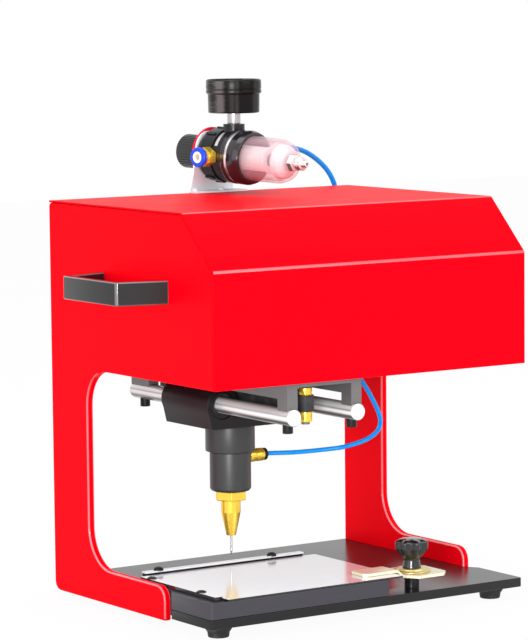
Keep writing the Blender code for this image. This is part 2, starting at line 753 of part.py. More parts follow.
def build_side_plates(machine, finishes):
    """Add the two side plates, each a foot, a column and a head around a throat."""
    bend = SHEET_BEND_RADIUS - SEAT_GAP
    head_edge = head_line(SHEET_THICKNESS + SEAT_GAP)
    head_radii = (PLATE_CREST_RADIUS, bend, bend, PLATE_NOSE_RADIUS)
    outline = [
        *with_radii(head_edge, head_radii),
        (-COLUMN_DEPTH, HEAD_BOTTOM, UPPER_THROAT_RADIUS),
        (-COLUMN_DEPTH, PLATE_FOOT_TOP, LOWER_THROAT_RADIUS),
        (-PLATE_FOOT_REACH, PLATE_FOOT_TOP, PLATE_TOE_RADIUS),
        (-PLATE_FOOT_REACH, -PLATE_DROP, PLATE_NOSE_RADIUS),
        (0.0, -PLATE_DROP, PLATE_HEEL_RADIUS),
    ]
    for side, sign in SIDES.items():
        shape = prism(rounded(outline), "X", sign * PLATE_OUTER, sign * PLATE_INNER)
        add_piece(f"{side}_side_plate", shape, finishes["red_paint"], machine)


def build_covers(machine, finishes):
    """Add the folded cover over the head and the rear cover between the plates."""
    bend_outside = SHEET_BEND_RADIUS + SHEET_THICKNESS
    outside = with_radii(head_line(), (0.0, bend_outside, bend_outside, 0.0))
    inside = with_radii(head_line(SHEET_THICKNESS), (0.0, SHEET_BEND_RADIUS, SHEET_BEND_RADIUS, 0.0))
    outline = rounded(outside, closed=False) + rounded(inside, closed=False)[::-1]
    shape = prism(outline, "X", -PLATE_OUTER, PLATE_OUTER)
    add_piece("top_cover", shape, finishes["red_paint"], machine)
    shape = block(-BETWEEN_PLATES, BETWEEN_PLATES, -SHEET_THICKNESS, 0.0,
                  HEAD_BOTTOM, COVER_UNDERSIDE - SEAT_GAP)
    cover = add_piece("rear_cover", shape, finishes["red_paint"], machine)
    elbow_hole = rod(ELBOW_STUB_RADIUS + SEAT_GAP, SEGMENTS_SMALL, "Y", (ELBOW_X, ELBOW_HEIGHT),
                     -SHEET_THICKNESS - OVERRUN, OVERRUN)
    cut(cover, elbow_hole, machine)
    socket_hole = rod(SOCKET_TAIL_RADIUS + SEAT_GAP, SEGMENTS_MEDIUM, "Y", (SOCKET_X, SOCKET_HEIGHT),
                      -SHEET_THICKNESS - OVERRUN, OVERRUN)
    cut(cover, socket_hole, machine)


def apron_side(front_reach):
    """Return the right edge in (x, y) of a plate that widens in front of the side plates."""
    neck = PLATE_FOOT_REACH + SEAT_GAP
    return [
        (BETWEEN_PLATES, -neck, 0.0),
        (APRON_HALF_WIDTH, -neck - APRON_RELIEF_DEPTH, 0.0),
        (APRON_HALF_WIDTH, -front_reach, APRON_CORNER_RADIUS),
    ]


def mirrored(points):
    """Return points (x, y, radius) mirrored to the other side, in reverse order."""
    return [(-x, y, radius) for x, y, radius in points[::-1]]


def build_base(machine, finishes):
    """Add the base plate with the clamp's stud, and its four rubber feet."""
    right = [(BETWEEN_PLATES, 0.0, 0.0), *apron_side(BASE_REACH)]
    shape = prism(rounded(right + mirrored(right)), "Z", 0.0, BASE_THICKNESS)
    base = add_piece("base_plate", shape, finishes["black_paint"], machine)
    spacer_top = CLAMP_PLATE_LOW - SEAT_GAP
    profile = [
        (STUD_SPACER_RADIUS, BASE_TOP - LAP),
        (STUD_SPACER_RADIUS, spacer_top),
        (STUD_RADIUS, spacer_top),
        (STUD_RADIUS, STUD_TOP),
    ]
    join(base, turned(profile, SEGMENTS_MEDIUM, centre=(CLAMP_X, -CLAMP_REACH)), machine)
    feet = {"front": (FRONT_FOOT_X, FRONT_FOOT_REACH), "rear": (REAR_FOOT_X, REAR_FOOT_REACH)}
    profile = [
        (FOOT_RECESS_RADIUS, FOOT_RECESS_DEPTH - FOOT_HEIGHT),
        (FOOT_RECESS_RADIUS, -FOOT_HEIGHT),
        (FOOT_RADIUS - FOOT_CHAMFER, -FOOT_HEIGHT),
        (FOOT_RADIUS, FOOT_CHAMFER - FOOT_HEIGHT),
        (FOOT_TOP_RADIUS, -SEAT_GAP),
    ]
    for row, (x, reach) in feet.items():
        for side, sign in SIDES.items():
            shape = turned(profile, SEGMENTS_MEDIUM, centre=(sign * x, -reach))
            add_piece(f"{row}_{side}_foot", shape, finishes["rubber"], machine)


def table_outline():
    """Return the work table's outline, which follows the base plate on the left."""
    left = mirrored([(BETWEEN_PLATES, -TABLE_REAR_REACH, 0.0), *apron_side(BASE_REACH)])
    return rounded([*left, (TABLE_RIGHT, -TABLE_REAR_REACH, 0.0), (TABLE_RIGHT, -BASE_REACH, 0.0)])


def add_stop_screws(stop, places, seat, machine):
    """Join round-headed screws to a stop rail."""
    head_top = seat + STOP_SCREW_HEIGHT
    profile = [
        (STOP_SCREW_RADIUS, seat - LAP),
        (STOP_SCREW_RADIUS, head_top - STOP_SCREW_CROWN),
        (STOP_SCREW_RADIUS - STOP_SCREW_CROWN, head_top),
    ]
    for place in places:
        join(stop, turned(profile, SEGMENTS_SMALL, centre=place), machine)


def build_table(machine, finishes):
    """Add the table block, its bright top sheet and the stop rails along two of the sheet's sides."""
    shape = prism(table_outline(), "Z", BASE_TOP + SEAT_GAP, TABLE_SHEET_BOTTOM - SEAT_GAP)
    add_piece("work_table", shape, finishes["table_grey"], machine)
    shape = block(TABLE_SHEET_LEFT, TABLE_SHEET_RIGHT, -BASE_REACH, -TABLE_SHEET_REAR_REACH,
                  TABLE_SHEET_BOTTOM, TABLE_TOP)
    add_piece("table_top", shape, finishes["bright_sheet"], machine)
    front = -TABLE_REAR_REACH - REAR_STOP_DEPTH
    rear_top = TABLE_SEAT + REAR_STOP_HEIGHT
    shape = block(REAR_STOP_LEFT, REAR_STOP_RIGHT, front, -TABLE_REAR_REACH, TABLE_SHEET_BOTTOM, rear_top)
    rear_stop = add_piece("rear_stop", shape, finishes["black_paint"], machine)
    ends = (REAR_STOP_LEFT + REAR_STOP_LEFT_MARGIN, REAR_STOP_RIGHT - REAR_STOP_RIGHT_MARGIN)
    add_stop_screws(rear_stop, [(x, -REAR_STOP_MIDDLE_REACH) for x in ends], rear_top, machine)
    left_top = TABLE_SEAT + LEFT_STOP_HEIGHT
    shape = block(LEFT_STOP_X - LEFT_STOP_WIDTH / 2, LEFT_STOP_X + LEFT_STOP_WIDTH / 2,
                  -LEFT_STOP_FRONT_REACH, -LEFT_STOP_REAR_REACH, TABLE_SHEET_BOTTOM, left_top)
    left_stop = add_piece("left_stop", shape, finishes["bright_sheet"], machine)
    reaches = (LEFT_STOP_REAR_REACH + LEFT_STOP_REAR_MARGIN, LEFT_STOP_FRONT_REACH - LEFT_STOP_FRONT_MARGIN)
    places = [(LEFT_STOP_X, -reach) for reach in reaches]
    add_stop_screws(left_stop, places, left_top, machine)


def clamp_plate_section(x, half_width, bottom):
    """Return one cross-section of the clamp plate."""
    front = -CLAMP_REACH - half_width
    rear = -CLAMP_REACH + half_width
    top = bottom + CLAMP_PLATE_THICKNESS
    return [(x, front, bottom), (x, rear, bottom), (x, rear, top), (x, front, top)]


def star_loop(scale, height):
    """Return one loop of the star knob, with its lobes and valleys."""
    points = []
    count = CLAMP_STAR_LOBES * CLAMP_STAR_LOBE_POINTS
    for index in range(count):
        angle = math.tau * index / count
        valley = (1 - math.cos(CLAMP_STAR_LOBES * angle)) / 2
        radius = (CLAMP_STAR_RADIUS - CLAMP_STAR_VALLEY * valley) * scale
        points.append((CLAMP_X + radius * math.cos(angle), radius * math.sin(angle) - CLAMP_REACH, height))
    return points


def build_clamp(machine, finishes):
    """Add the clamp's bent plate, which swings on the base's stud, and its star knob."""
    centre = (CLAMP_X, -CLAMP_REACH)
    bend_start = TABLE_SHEET_RIGHT + CLAMP_BEND_CLEARANCE
    bend_end = bend_start + CLAMP_BEND_LENGTH
    sections = [
        (CLAMP_TONGUE_LEFT, CLAMP_TIP_HALF_WIDTH, TABLE_SEAT),
        (CLAMP_TONGUE_LEFT + CLAMP_TONGUE_NIB, CLAMP_TONGUE_HALF_WIDTH, TABLE_SEAT),
        (bend_start, CLAMP_TONGUE_HALF_WIDTH, TABLE_SEAT),
        (bend_end, CLAMP_TONGUE_HALF_WIDTH, CLAMP_PLATE_LOW),
        (bend_end + CLAMP_FLARE_LENGTH, CLAMP_HALF_WIDTH, CLAMP_PLATE_LOW),
        (CLAMP_PLATE_RIGHT - CLAMP_PLATE_CLIP, CLAMP_HALF_WIDTH, CLAMP_PLATE_LOW),
        (CLAMP_PLATE_RIGHT, CLAMP_END_HALF_WIDTH, CLAMP_PLATE_LOW),
    ]
    shape = loft([clamp_plate_section(*section) for section in sections])
    pivot = (CLAMP_X, -CLAMP_REACH, CLAMP_PLATE_LOW)
    plate = add_piece("clamp_plate", shape, finishes["cream_plate"], machine, pivot)
    hole = rod(STUD_BORE, SEGMENTS_MEDIUM, "Z", centre, CLAMP_PLATE_LOW - OVERRUN, CLAMP_PLATE_TOP + OVERRUN)
    cut(plate, hole, machine)

    count = CLAMP_STAR_LOBES * CLAMP_STAR_LOBE_POINTS
    rings = [
        (STUD_BORE, STUD_TOP + SEAT_GAP),
        (STUD_BORE, CLAMP_WASHER_BOTTOM),
        (CLAMP_WASHER_RADIUS, CLAMP_WASHER_BOTTOM),
        (CLAMP_WASHER_RADIUS, CLAMP_HUB_BOTTOM),
        (CLAMP_HUB_RADIUS, CLAMP_HUB_BOTTOM),
        (CLAMP_HUB_RADIUS, CLAMP_STAR_BOTTOM),
    ]
    loops = [[(x, y, height) for x, y in circle(radius, count, centre)] for radius, height in rings]
    rim_share = 1 - CLAMP_STAR_EDGE / CLAMP_STAR_RADIUS
    loops.append(star_loop(rim_share, CLAMP_STAR_BOTTOM))
    loops.append(star_loop(1, CLAMP_STAR_BOTTOM + CLAMP_STAR_EDGE))
    loops.append(star_loop(1, CLAMP_STAR_TOP - CLAMP_STAR_EDGE))
    loops.append(star_loop(rim_share, CLAMP_STAR_TOP))
    pivot = (CLAMP_X, -CLAMP_REACH, CLAMP_WASHER_BOTTOM)
    add_piece("clamp_knob", loft(loops), finishes["black_plastic"], machine, pivot)


def build_handles(machine, finishes):
    """Add the U-shaped carrying handles on the side plates."""
    face = PLATE_OUTER + SEAT_GAP
    standoff = PLATE_OUTER + HANDLE_STANDOFF
    outer = [
        (face, -HANDLE_REAR_ROOT),
        (standoff, -HANDLE_REAR_GRIP),
        (standoff, -HANDLE_FRONT_GRIP),
        (face, -HANDLE_FRONT_ROOT),
    ]
    inner = offset_path(outer, -HANDLE_THICKNESS)
    for end, neighbour in ((0, 1), (-1, -2)):
        (x0, y0), (x1, y1) = inner[end], inner[neighbour]
        inner[end] = (face, y1 + (y0 - y1) * (face - x1) / (x0 - x1))
    outside = with_radii(outer, (0.0, HANDLE_CORNER_RADIUS, HANDLE_CORNER_RADIUS, 0.0))
    outline = rounded(outside, closed=False) + inner[::-1]
    for side, sign in SIDES.items():
        placed = [(sign * x, y) for x, y in outline]
        shape = prism(placed, "Z", HANDLE_BOTTOM, HANDLE_BOTTOM + HANDLE_HEIGHT)
        add_piece(f"{side}_handle", shape, finishes["black_handle"], machine)


def idler_pin(centre, pulley_bottom, top):
    """Return the headed pin that hangs from TOP and carries an idler pulley."""
    head_top = pulley_bottom - SEAT_GAP
    profile = [
        (IDLER_PIN_HEAD_RADIUS, head_top - IDLER_PIN_HEAD_HEIGHT),
        (IDLER_PIN_HEAD_RADIUS, head_top),
        (MOTOR_SHAFT_RADIUS, head_top),
        (MOTOR_SHAFT_RADIUS, top),
    ]
    return turned(profile, SEGMENTS_SMALL, centre=centre)


def build_rails(machine, finishes):
    """Add the two X rails and the brackets that hold them on the side plates."""
    low_wall = X_RAIL_HEIGHT - X_RAIL_RADIUS - RAIL_BRACKET_WALL
    high_wall = X_RAIL_HEIGHT + X_RAIL_RADIUS + RAIL_BRACKET_WALL
    front = -X_RAIL_FRONT_REACH - X_RAIL_RADIUS - RAIL_BRACKET_WALL
    rear = -X_RAIL_REAR_REACH + X_RAIL_RADIUS + RAIL_BRACKET_WALL
    tower_front = -X_BELT_REACH - MOTOR_SHELF_DEPTH / 2
    tower_rear = -X_BELT_REACH + MOTOR_SHELF_DEPTH / 2
    outline = rounded([
        (front, low_wall, RAIL_BRACKET_RADIUS),
        (rear, low_wall, RAIL_BRACKET_RADIUS),
        (rear, high_wall, RAIL_BRACKET_RADIUS),
        (tower_rear, high_wall, RAIL_BRACKET_RADIUS),
        (tower_rear, MOTOR_SHELF_TOP, 0.0),
        (tower_front, MOTOR_SHELF_TOP, 0.0),
        (tower_front, high_wall, RAIL_BRACKET_RADIUS),
        (front, high_wall, RAIL_BRACKET_RADIUS),
    ])
    reaches = {"front": X_RAIL_FRONT_REACH, "rear": X_RAIL_REAR_REACH}
    shelf_end = X_PULLEY_SPAN - X_MOTOR_SIZE / 2 - MOTOR_SHELF_MARGIN
    for side, sign in SIDES.items():
        wall = sign * (BETWEEN_PLATES - RAIL_BRACKET_THICKNESS)
        shape = prism(outline, "X", sign * BETWEEN_PLATES, wall)
        bracket = add_piece(f"{side}_rail_bracket", shape, finishes["channel_grey"], machine)
        shelf = prism(rectangle(tower_front + LAP, tower_rear - LAP, MOTOR_SHELF_BOTTOM, MOTOR_SHELF_TOP - LAP / 2),
                      "X", sign * (BETWEEN_PLATES - LAP), sign * shelf_end)
        join(bracket, shelf, machine)
        for reach in reaches.values():
            bore = rod(X_RAIL_BORE, SEGMENTS_MEDIUM, "X", (-reach, X_RAIL_HEIGHT),
                       sign * (BETWEEN_PLATES + OVERRUN), wall - sign * OVERRUN)
            cut(bracket, bore, machine)
        pulley_centre = (sign * X_PULLEY_SPAN, -X_BELT_REACH)
        if side == "left":
            cut(bracket, rod(MOTOR_BOSS_RADIUS + SEAT_GAP, SEGMENTS_MEDIUM, "Z", pulley_centre,
                             MOTOR_SHELF_BOTTOM - OVERRUN, MOTOR_SHELF_TOP + OVERRUN), machine)
        else:
            join(bracket, idler_pin(pulley_centre, X_PULLEY_BOTTOM, MOTOR_SHELF_BOTTOM + LAP), machine)
    for name, reach in reaches.items():
        shape = rod(X_RAIL_RADIUS, SEGMENTS_MEDIUM, "X", (-reach, X_RAIL_HEIGHT), -BETWEEN_PLATES, BETWEEN_PLATES)
        add_piece(f"{name}_x_rail", shape, finishes["chrome"], machine)


def motor_outline(size, centre):
    """Return a motor's square outline with its corners cut off."""
    half = size / 2
    flat = half - size * MOTOR_CORNER_SHARE
    corners = [(half, flat), (flat, half), (-flat, half), (-half, flat)]
    corners += [(-x, -y) for x, y in corners]
    return [(centre[0] + x, centre[1] + y) for x, y in corners]


def belt_loop(first, second, inner):
    """Return two outlines of a belt around two pulley centres: its outside and its inside."""
    start = Vector(first)
    run = (Vector(second) - start).normalized()
    side = Vector((-run.y, run.x))
    loops = []
    for radius in (inner + BELT_THICKNESS, inner):
        loop = []
        half = SEGMENTS_MEDIUM // 2
        for centre, sign in ((Vector(second), 1), (start, -1)):
            for step in range(half + 1):
                angle = math.pi * step / half
                loop_point = centre + sign * radius * (run * math.sin(angle) - side * math.cos(angle))
                loop.append((loop_point.x, loop_point.y))
        loops.append(loop)
    return loops


def add_belt(name, first, second, bottom, top, finish, carrier):
    """Add a belt that runs round two upright pulleys."""
    outside, inside = belt_loop(first, second, X_BELT_INNER)
    loops = [[(x, y, height) for x, y in outline] for outline, height in
             ((inside, bottom), (outside, bottom), (outside, top), (inside, top))]
    add_piece(name, loft(loops, bored=True), finish, carrier)


def build_x_drive(machine, finishes):
    """Add the X motor, its pulley, the idler pulley and the belt between them."""
    motor_centre = (-X_PULLEY_SPAN, -X_BELT_REACH)
    idler_centre = (X_PULLEY_SPAN, -X_BELT_REACH)
    motor_bottom = MOTOR_SHELF_TOP + SEAT_GAP
    shape = prism(motor_outline(X_MOTOR_SIZE, motor_centre), "Z", motor_bottom, motor_bottom + X_MOTOR_HEIGHT)
    motor = add_piece("x_motor", shape, finishes["motor_black"], machine)
    boss = rod(MOTOR_BOSS_RADIUS, SEGMENTS_MEDIUM, "Z", motor_centre,
               motor_bottom - MOTOR_BOSS_HEIGHT, motor_bottom + LAP)
    join(motor, boss, machine)
    shaft_top = MOTOR_SHELF_TOP + MOTOR_SHAFT_SEAT
    shaft_hole = rod(SHAFT_BORE, SEGMENTS_SMALL, "Z", motor_centre,
                     motor_bottom - MOTOR_BOSS_HEIGHT - OVERRUN, shaft_top + SEAT_GAP)
    cut(motor, shaft_hole, machine)

    profile = [
        (PULLEY_RADIUS, X_PULLEY_BOTTOM),
        (PULLEY_RADIUS, X_PULLEY_TOP),
        (MOTOR_SHAFT_RADIUS, X_PULLEY_TOP),
        (MOTOR_SHAFT_RADIUS, shaft_top),
    ]
    shape = turned(profile, SEGMENTS_MEDIUM, centre=motor_centre)
    pivot = (*motor_centre, X_PULLEY_BOTTOM)
    add_piece("x_drive_pulley", shape, finishes["brass"], machine, pivot)

    profile = [
        (SHAFT_BORE, X_PULLEY_BOTTOM),
        (PULLEY_RADIUS, X_PULLEY_BOTTOM),
        (PULLEY_RADIUS, X_PULLEY_TOP),
        (SHAFT_BORE, X_PULLEY_TOP),
    ]
    shape = turned(profile, SEGMENTS_MEDIUM, centre=idler_centre, bored=True)
    pivot = (*idler_centre, X_PULLEY_BOTTOM)
    add_piece("x_idler_pulley", shape, finishes["brass"], machine, pivot)

    add_belt("x_belt", motor_centre, idler_centre, X_BELT_BOTTOM, X_BELT_TOP, finishes["belt_rubber"], machine)


def build_x_carriage(cross_slide, finishes):
    """Add the X carriage, its bearing blocks, its belt clamp and the shelf for the air valve."""
    left = GANTRY_X - CARRIAGE_PLATE_HALF_WIDTH
    right = GANTRY_X + CARRIAGE_PLATE_HALF_WIDTH
    bearing_half = X_RAIL_RADIUS + CARRIAGE_BEARING_WALL
    front = -X_RAIL_FRONT_REACH - bearing_half
    rear = -X_RAIL_REAR_REACH + bearing_half
    bearing_top = X_RAIL_HEIGHT + bearing_half
    outline = [
        (front, CARRIAGE_BOTTOM),
        (rear, CARRIAGE_BOTTOM),
        (rear, bearing_top),
        (-X_RAIL_REAR_REACH - bearing_half, bearing_top),
        (-X_RAIL_REAR_REACH - bearing_half, CARRIAGE_PLATE_TOP),
        (-X_RAIL_FRONT_REACH + bearing_half, CARRIAGE_PLATE_TOP),
        (-X_RAIL_FRONT_REACH + bearing_half, bearing_top),
        (front, bearing_top),
    ]
    carriage = add_piece("x_carriage", prism(outline, "X", left, right), finishes["channel_grey"], cross_slide)
    shelf = block(right - LAP, VALVE_SHELF_RIGHT, -VALVE_SHELF_FRONT_REACH, -VALVE_SHELF_REAR_REACH,
                  CARRIAGE_BOTTOM + LAP / 2, VALVE_SHELF_TOP)
    join(carriage, shelf, cross_slide)
    port_hole = rod(VALVE_PORT_RADIUS + SEAT_GAP, SEGMENTS_SMALL, "Z", (VALVE_PORT_X, -VALVE_PORT_REACH),
                    CARRIAGE_BOTTOM - OVERRUN, VALVE_SHELF_TOP + OVERRUN)
    cut(carriage, port_hole, cross_slide)
    belt_side = -X_BELT_REACH - X_BELT_INNER - BELT_THICKNESS / 2
    slot_half = BELT_THICKNESS / 2 + SEAT_GAP
    post_half = slot_half + BELT_CLAMP_WALL
    post = block(GANTRY_X - BELT_CLAMP_DEPTH / 2, GANTRY_X + BELT_CLAMP_DEPTH / 2,
                 belt_side - post_half, belt_side + post_half, CARRIAGE_PLATE_TOP - LAP, X_BELT_TOP + LAP)
    join(carriage, post, cross_slide)
    slot = block(GANTRY_X - BELT_CLAMP_DEPTH, GANTRY_X + BELT_CLAMP_DEPTH, belt_side - slot_half,
                 belt_side + slot_half, X_BELT_BOTTOM - SEAT_GAP, X_BELT_TOP + OVERRUN)
    cut(carriage, slot, cross_slide)
    for reach in (X_RAIL_FRONT_REACH, X_RAIL_REAR_REACH):
        bore = rod(X_RAIL_BORE, SEGMENTS_MEDIUM, "X", (-reach, X_RAIL_HEIGHT), left - OVERRUN, right + OVERRUN)
        cut(carriage, bore, cross_slide)


def build_air_valve(cross_slide, finishes):
    """Add the solenoid valve, whose port reaches down through the carriage's shelf."""
    front = -VALVE_PORT_REACH - VALVE_DEPTH / 2
    rear = -VALVE_PORT_REACH + VALVE_DEPTH / 2
    coil_right = VALVE_LEFT + VALVE_COIL_LENGTH
    top = VALVE_BOTTOM + VALVE_HEIGHT
    outline = [
        (VALVE_LEFT, VALVE_BOTTOM),
        (VALVE_RIGHT, VALVE_BOTTOM),
        (VALVE_RIGHT, top),
        (coil_right, top),
        (coil_right, top + VALVE_COIL_RISE),
        (VALVE_LEFT, top + VALVE_COIL_RISE),
    ]
    valve = add_piece("air_valve", prism(outline, "Y", front, rear), finishes["black_plastic"], cross_slide)
    port = rod(VALVE_PORT_RADIUS, SEGMENTS_SMALL, "Z", (VALVE_PORT_X, -VALVE_PORT_REACH),
               VALVE_PORT_BOTTOM, VALVE_BOTTOM + LAP)
    join(valve, port, cross_slide)
    bore = rod(FITTING_BORE, SEGMENTS_SMALL, "Z", (VALVE_PORT_X, -VALVE_PORT_REACH),
               VALVE_PORT_BOTTOM - OVERRUN, VALVE_BOTTOM + VALVE_HEIGHT / 2)
    cut(valve, bore, cross_slide)


def build_y_channel(cross_slide, finishes):
    """Add the downward-open channel with end blocks that sit on the rods, and its idler pin."""
    front = -CHANNEL_FRONT_REACH
    rear = -CHANNEL_REAR_REACH
    left = GANTRY_X - CHANNEL_HALF_WIDTH
    right = GANTRY_X + CHANNEL_HALF_WIDTH
    outline = [
        (left, CHANNEL_BLOCK_BOTTOM),
        (left, CHANNEL_TOP),
        (right, CHANNEL_TOP),
        (right, CHANNEL_BLOCK_BOTTOM),
        (right - CHANNEL_LEG, CHANNEL_BLOCK_BOTTOM),
        (right - CHANNEL_LEG, CHANNEL_WEB_BOTTOM),
        (left + CHANNEL_LEG, CHANNEL_WEB_BOTTOM),
        (left + CHANNEL_LEG, CHANNEL_BLOCK_BOTTOM),
    ]
    channel = add_piece("y_channel", prism(outline, "Y", front, rear), finishes["channel_grey"], cross_slide)
    window = block(left - OVERRUN, right + OVERRUN, front + CHANNEL_FRONT_BLOCK, rear - CHANNEL_REAR_BLOCK,
                   CHANNEL_BLOCK_BOTTOM - OVERRUN, CHANNEL_LEG_BOTTOM)
    cut(channel, window, cross_slide)
    for x in Y_ROD_CENTRES.values():
        groove = rod(Y_ROD_BORE, SEGMENTS_MEDIUM, "Y", (x, Y_ROD_HEIGHT), front - OVERRUN, rear + OVERRUN)
        cut(channel, groove, cross_slide)
    idler_centre = (Y_PULLEY_X, -Y_PULLEY_FRONT_REACH)
    join(channel, idler_pin(idler_centre, Y_PULLEY_BOTTOM, CHANNEL_WEB_BOTTOM + LAP), cross_slide)
    shaft_hole = rod(SHAFT_BORE, SEGMENTS_SMALL, "Z", (Y_PULLEY_X, -Y_PULLEY_REAR_REACH),
                     CHANNEL_WEB_BOTTOM - OVERRUN, CHANNEL_TOP + OVERRUN)
    cut(channel, shaft_hole, cross_slide)


def build_y_rods(cross_slide, finishes):
    """Add the two Y rods, each with the two cap screws that hold it up in the channel."""
    front = -Y_ROD_FRONT_REACH
    rear = -CHANNEL_REAR_REACH
    edge = Y_ROD_RADIUS - Y_ROD_CHAMFER
    profile = [
        (edge, front),
        (Y_ROD_RADIUS, front + Y_ROD_CHAMFER),
        (Y_ROD_RADIUS, rear - Y_ROD_CHAMFER),
        (edge, rear),
    ]
    underside = Y_ROD_HEIGHT - Y_ROD_RADIUS
    screw_places = (-CHANNEL_FRONT_REACH + ROD_SCREW_INSET, rear - ROD_SCREW_REAR_INSET)
    for side, x in Y_ROD_CENTRES.items():
        shape = turned(profile, SEGMENTS_MEDIUM, "Y", (x, Y_ROD_HEIGHT))
        piece = add_piece(f"{side}_y_rod", shape, finishes["chrome"], cross_slide)
        for y in screw_places:
            screw = rod(ROD_SCREW_RADIUS, SEGMENTS_SMALL, "Z", (x, y), underside - ROD_SCREW_HEIGHT, Y_ROD_HEIGHT)
            join(piece, screw, cross_slide)


def build_y_drive(cross_slide, finishes):
    """Add the Y motor on the channel, its pulley, the brass idler pulley and the belt."""
    motor_centre = (Y_PULLEY_X, -Y_PULLEY_REAR_REACH)
    idler_centre = (Y_PULLEY_X, -Y_PULLEY_FRONT_REACH)
    motor_bottom = CHANNEL_TOP + SEAT_GAP
    shape = prism(motor_outline(Y_MOTOR_SIZE, motor_centre), "Z", motor_bottom, motor_bottom + Y_MOTOR_HEIGHT)
    motor = add_piece("y_motor", shape, finishes["motor_black"], cross_slide)
    shaft_top = CHANNEL_TOP + MOTOR_SHAFT_SEAT
    shaft_hole = rod(SHAFT_BORE, SEGMENTS_SMALL, "Z", motor_centre, motor_bottom - OVERRUN, shaft_top + SEAT_GAP)
    cut(motor, shaft_hole, cross_slide)

    profile = [
        (PULLEY_RADIUS, Y_PULLEY_BOTTOM),
        (PULLEY_RADIUS, Y_PULLEY_TOP),
        (MOTOR_SHAFT_RADIUS, Y_PULLEY_TOP),
        (MOTOR_SHAFT_RADIUS, shaft_top),
    ]
    shape = turned(profile, SEGMENTS_MEDIUM, centre=motor_centre)
    pivot = (*motor_centre, Y_PULLEY_BOTTOM)
    add_piece("y_drive_pulley", shape, finishes["brass"], cross_slide, pivot)

    profile = [
        (SHAFT_BORE, Y_PULLEY_BOTTOM),
        (PULLEY_RADIUS, Y_PULLEY_BOTTOM),
        (PULLEY_RADIUS, Y_PULLEY_TOP),
        (SHAFT_BORE, Y_PULLEY_TOP),
    ]
    shape = turned(profile, SEGMENTS_MEDIUM, centre=idler_centre, bored=True)
    pivot = (*idler_centre, Y_PULLEY_BOTTOM)
    add_piece("y_idler_pulley", shape, finishes["brass"], cross_slide, pivot)
    add_belt("y_belt", idler_centre, motor_centre, Y_BELT_BOTTOM, Y_BELT_TOP, finishes["belt_rubber"], cross_slide)


def housing_arc(x_centre, start, end):
    """Return points in (x, z) on a bearing housing's round side, between two angles."""
    steps = max(MIN_ARC_STEPS, math.ceil(abs(end - start) * HOUSING_RADIUS / ARC_CHORD))
    angles = [start + (end - start) * step / steps for step in range(steps + 1)]
    return [(x_centre + HOUSING_RADIUS * math.cos(a), Y_ROD_HEIGHT + HOUSING_RADIUS * math.sin(a)) for a in angles]


def build_head_carriage(marking_head, finishes):
    """Add the marking head's carriage: two round housings, a bridge and a belt clamp."""
    crest = math.asin((HOUSING_TOP - Y_ROD_HEIGHT) / HOUSING_RADIUS)
    bridge = math.asin((HEAD_BRIDGE_TOP - Y_ROD_HEIGHT) / HOUSING_RADIUS)
    right = housing_arc(Y_ROD_OFFSET, math.pi - bridge, math.pi - crest)
    right += housing_arc(Y_ROD_OFFSET, crest, HOUSING_FLARE_ANGLE)
    right.append((HEAD_BOTTOM_HALF_WIDTH, HEAD_UNDERSIDE))
    half = [(GANTRY_X + x, z) for x, z in right]
    mirror = [(GANTRY_X - x, z) for x, z in right[::-1]]
    shape = prism(half + mirror, "Y", -HEAD_FRONT_REACH, -HEAD_REAR_REACH)
    carriage = add_piece("head_carriage", shape, finishes["carriage_black"], marking_head)
    belt_side = Y_PULLEY_X + X_BELT_INNER + BELT_THICKNESS / 2
    slot_half = BELT_THICKNESS / 2 + SEAT_GAP
    post_half = slot_half + BELT_CLAMP_WALL
    post = block(belt_side - post_half, belt_side + post_half, -STYLUS_REACH - BELT_CLAMP_DEPTH / 2,
                 -STYLUS_REACH + BELT_CLAMP_DEPTH / 2, HEAD_BRIDGE_TOP - LAP, Y_BELT_TOP + LAP)
    join(carriage, post, marking_head)
    slot = block(belt_side - slot_half, belt_side + slot_half, -STYLUS_REACH - BELT_CLAMP_DEPTH,
                 -STYLUS_REACH + BELT_CLAMP_DEPTH, Y_BELT_BOTTOM - SEAT_GAP, Y_BELT_TOP + OVERRUN)
    cut(carriage, slot, marking_head)
    for x in Y_ROD_CENTRES.values():
        bore = rod(BEARING_RADIUS + SEAT_GAP, SEGMENTS_MEDIUM, "Y", (x, Y_ROD_HEIGHT),
                   -HEAD_FRONT_REACH - OVERRUN, -HEAD_REAR_REACH + OVERRUN)
        cut(carriage, bore, marking_head)


def build_bearings(marking_head, finishes):
    """Add the two linear bearings that carry the head on the rods."""
    front = -HEAD_FRONT_REACH + BEARING_INSET
    rear = -HEAD_REAR_REACH - BEARING_INSET
    profile = [(Y_ROD_BORE, front), (BEARING_RADIUS, front), (BEARING_RADIUS, rear), (Y_ROD_BORE, rear)]
    for side, x in Y_ROD_CENTRES.items():
        shape = turned(profile, SEGMENTS_MEDIUM, "Y", (x, Y_ROD_HEIGHT), bored=True)
        add_piece(f"{side}_bearing", shape, finishes["carriage_black"], marking_head)


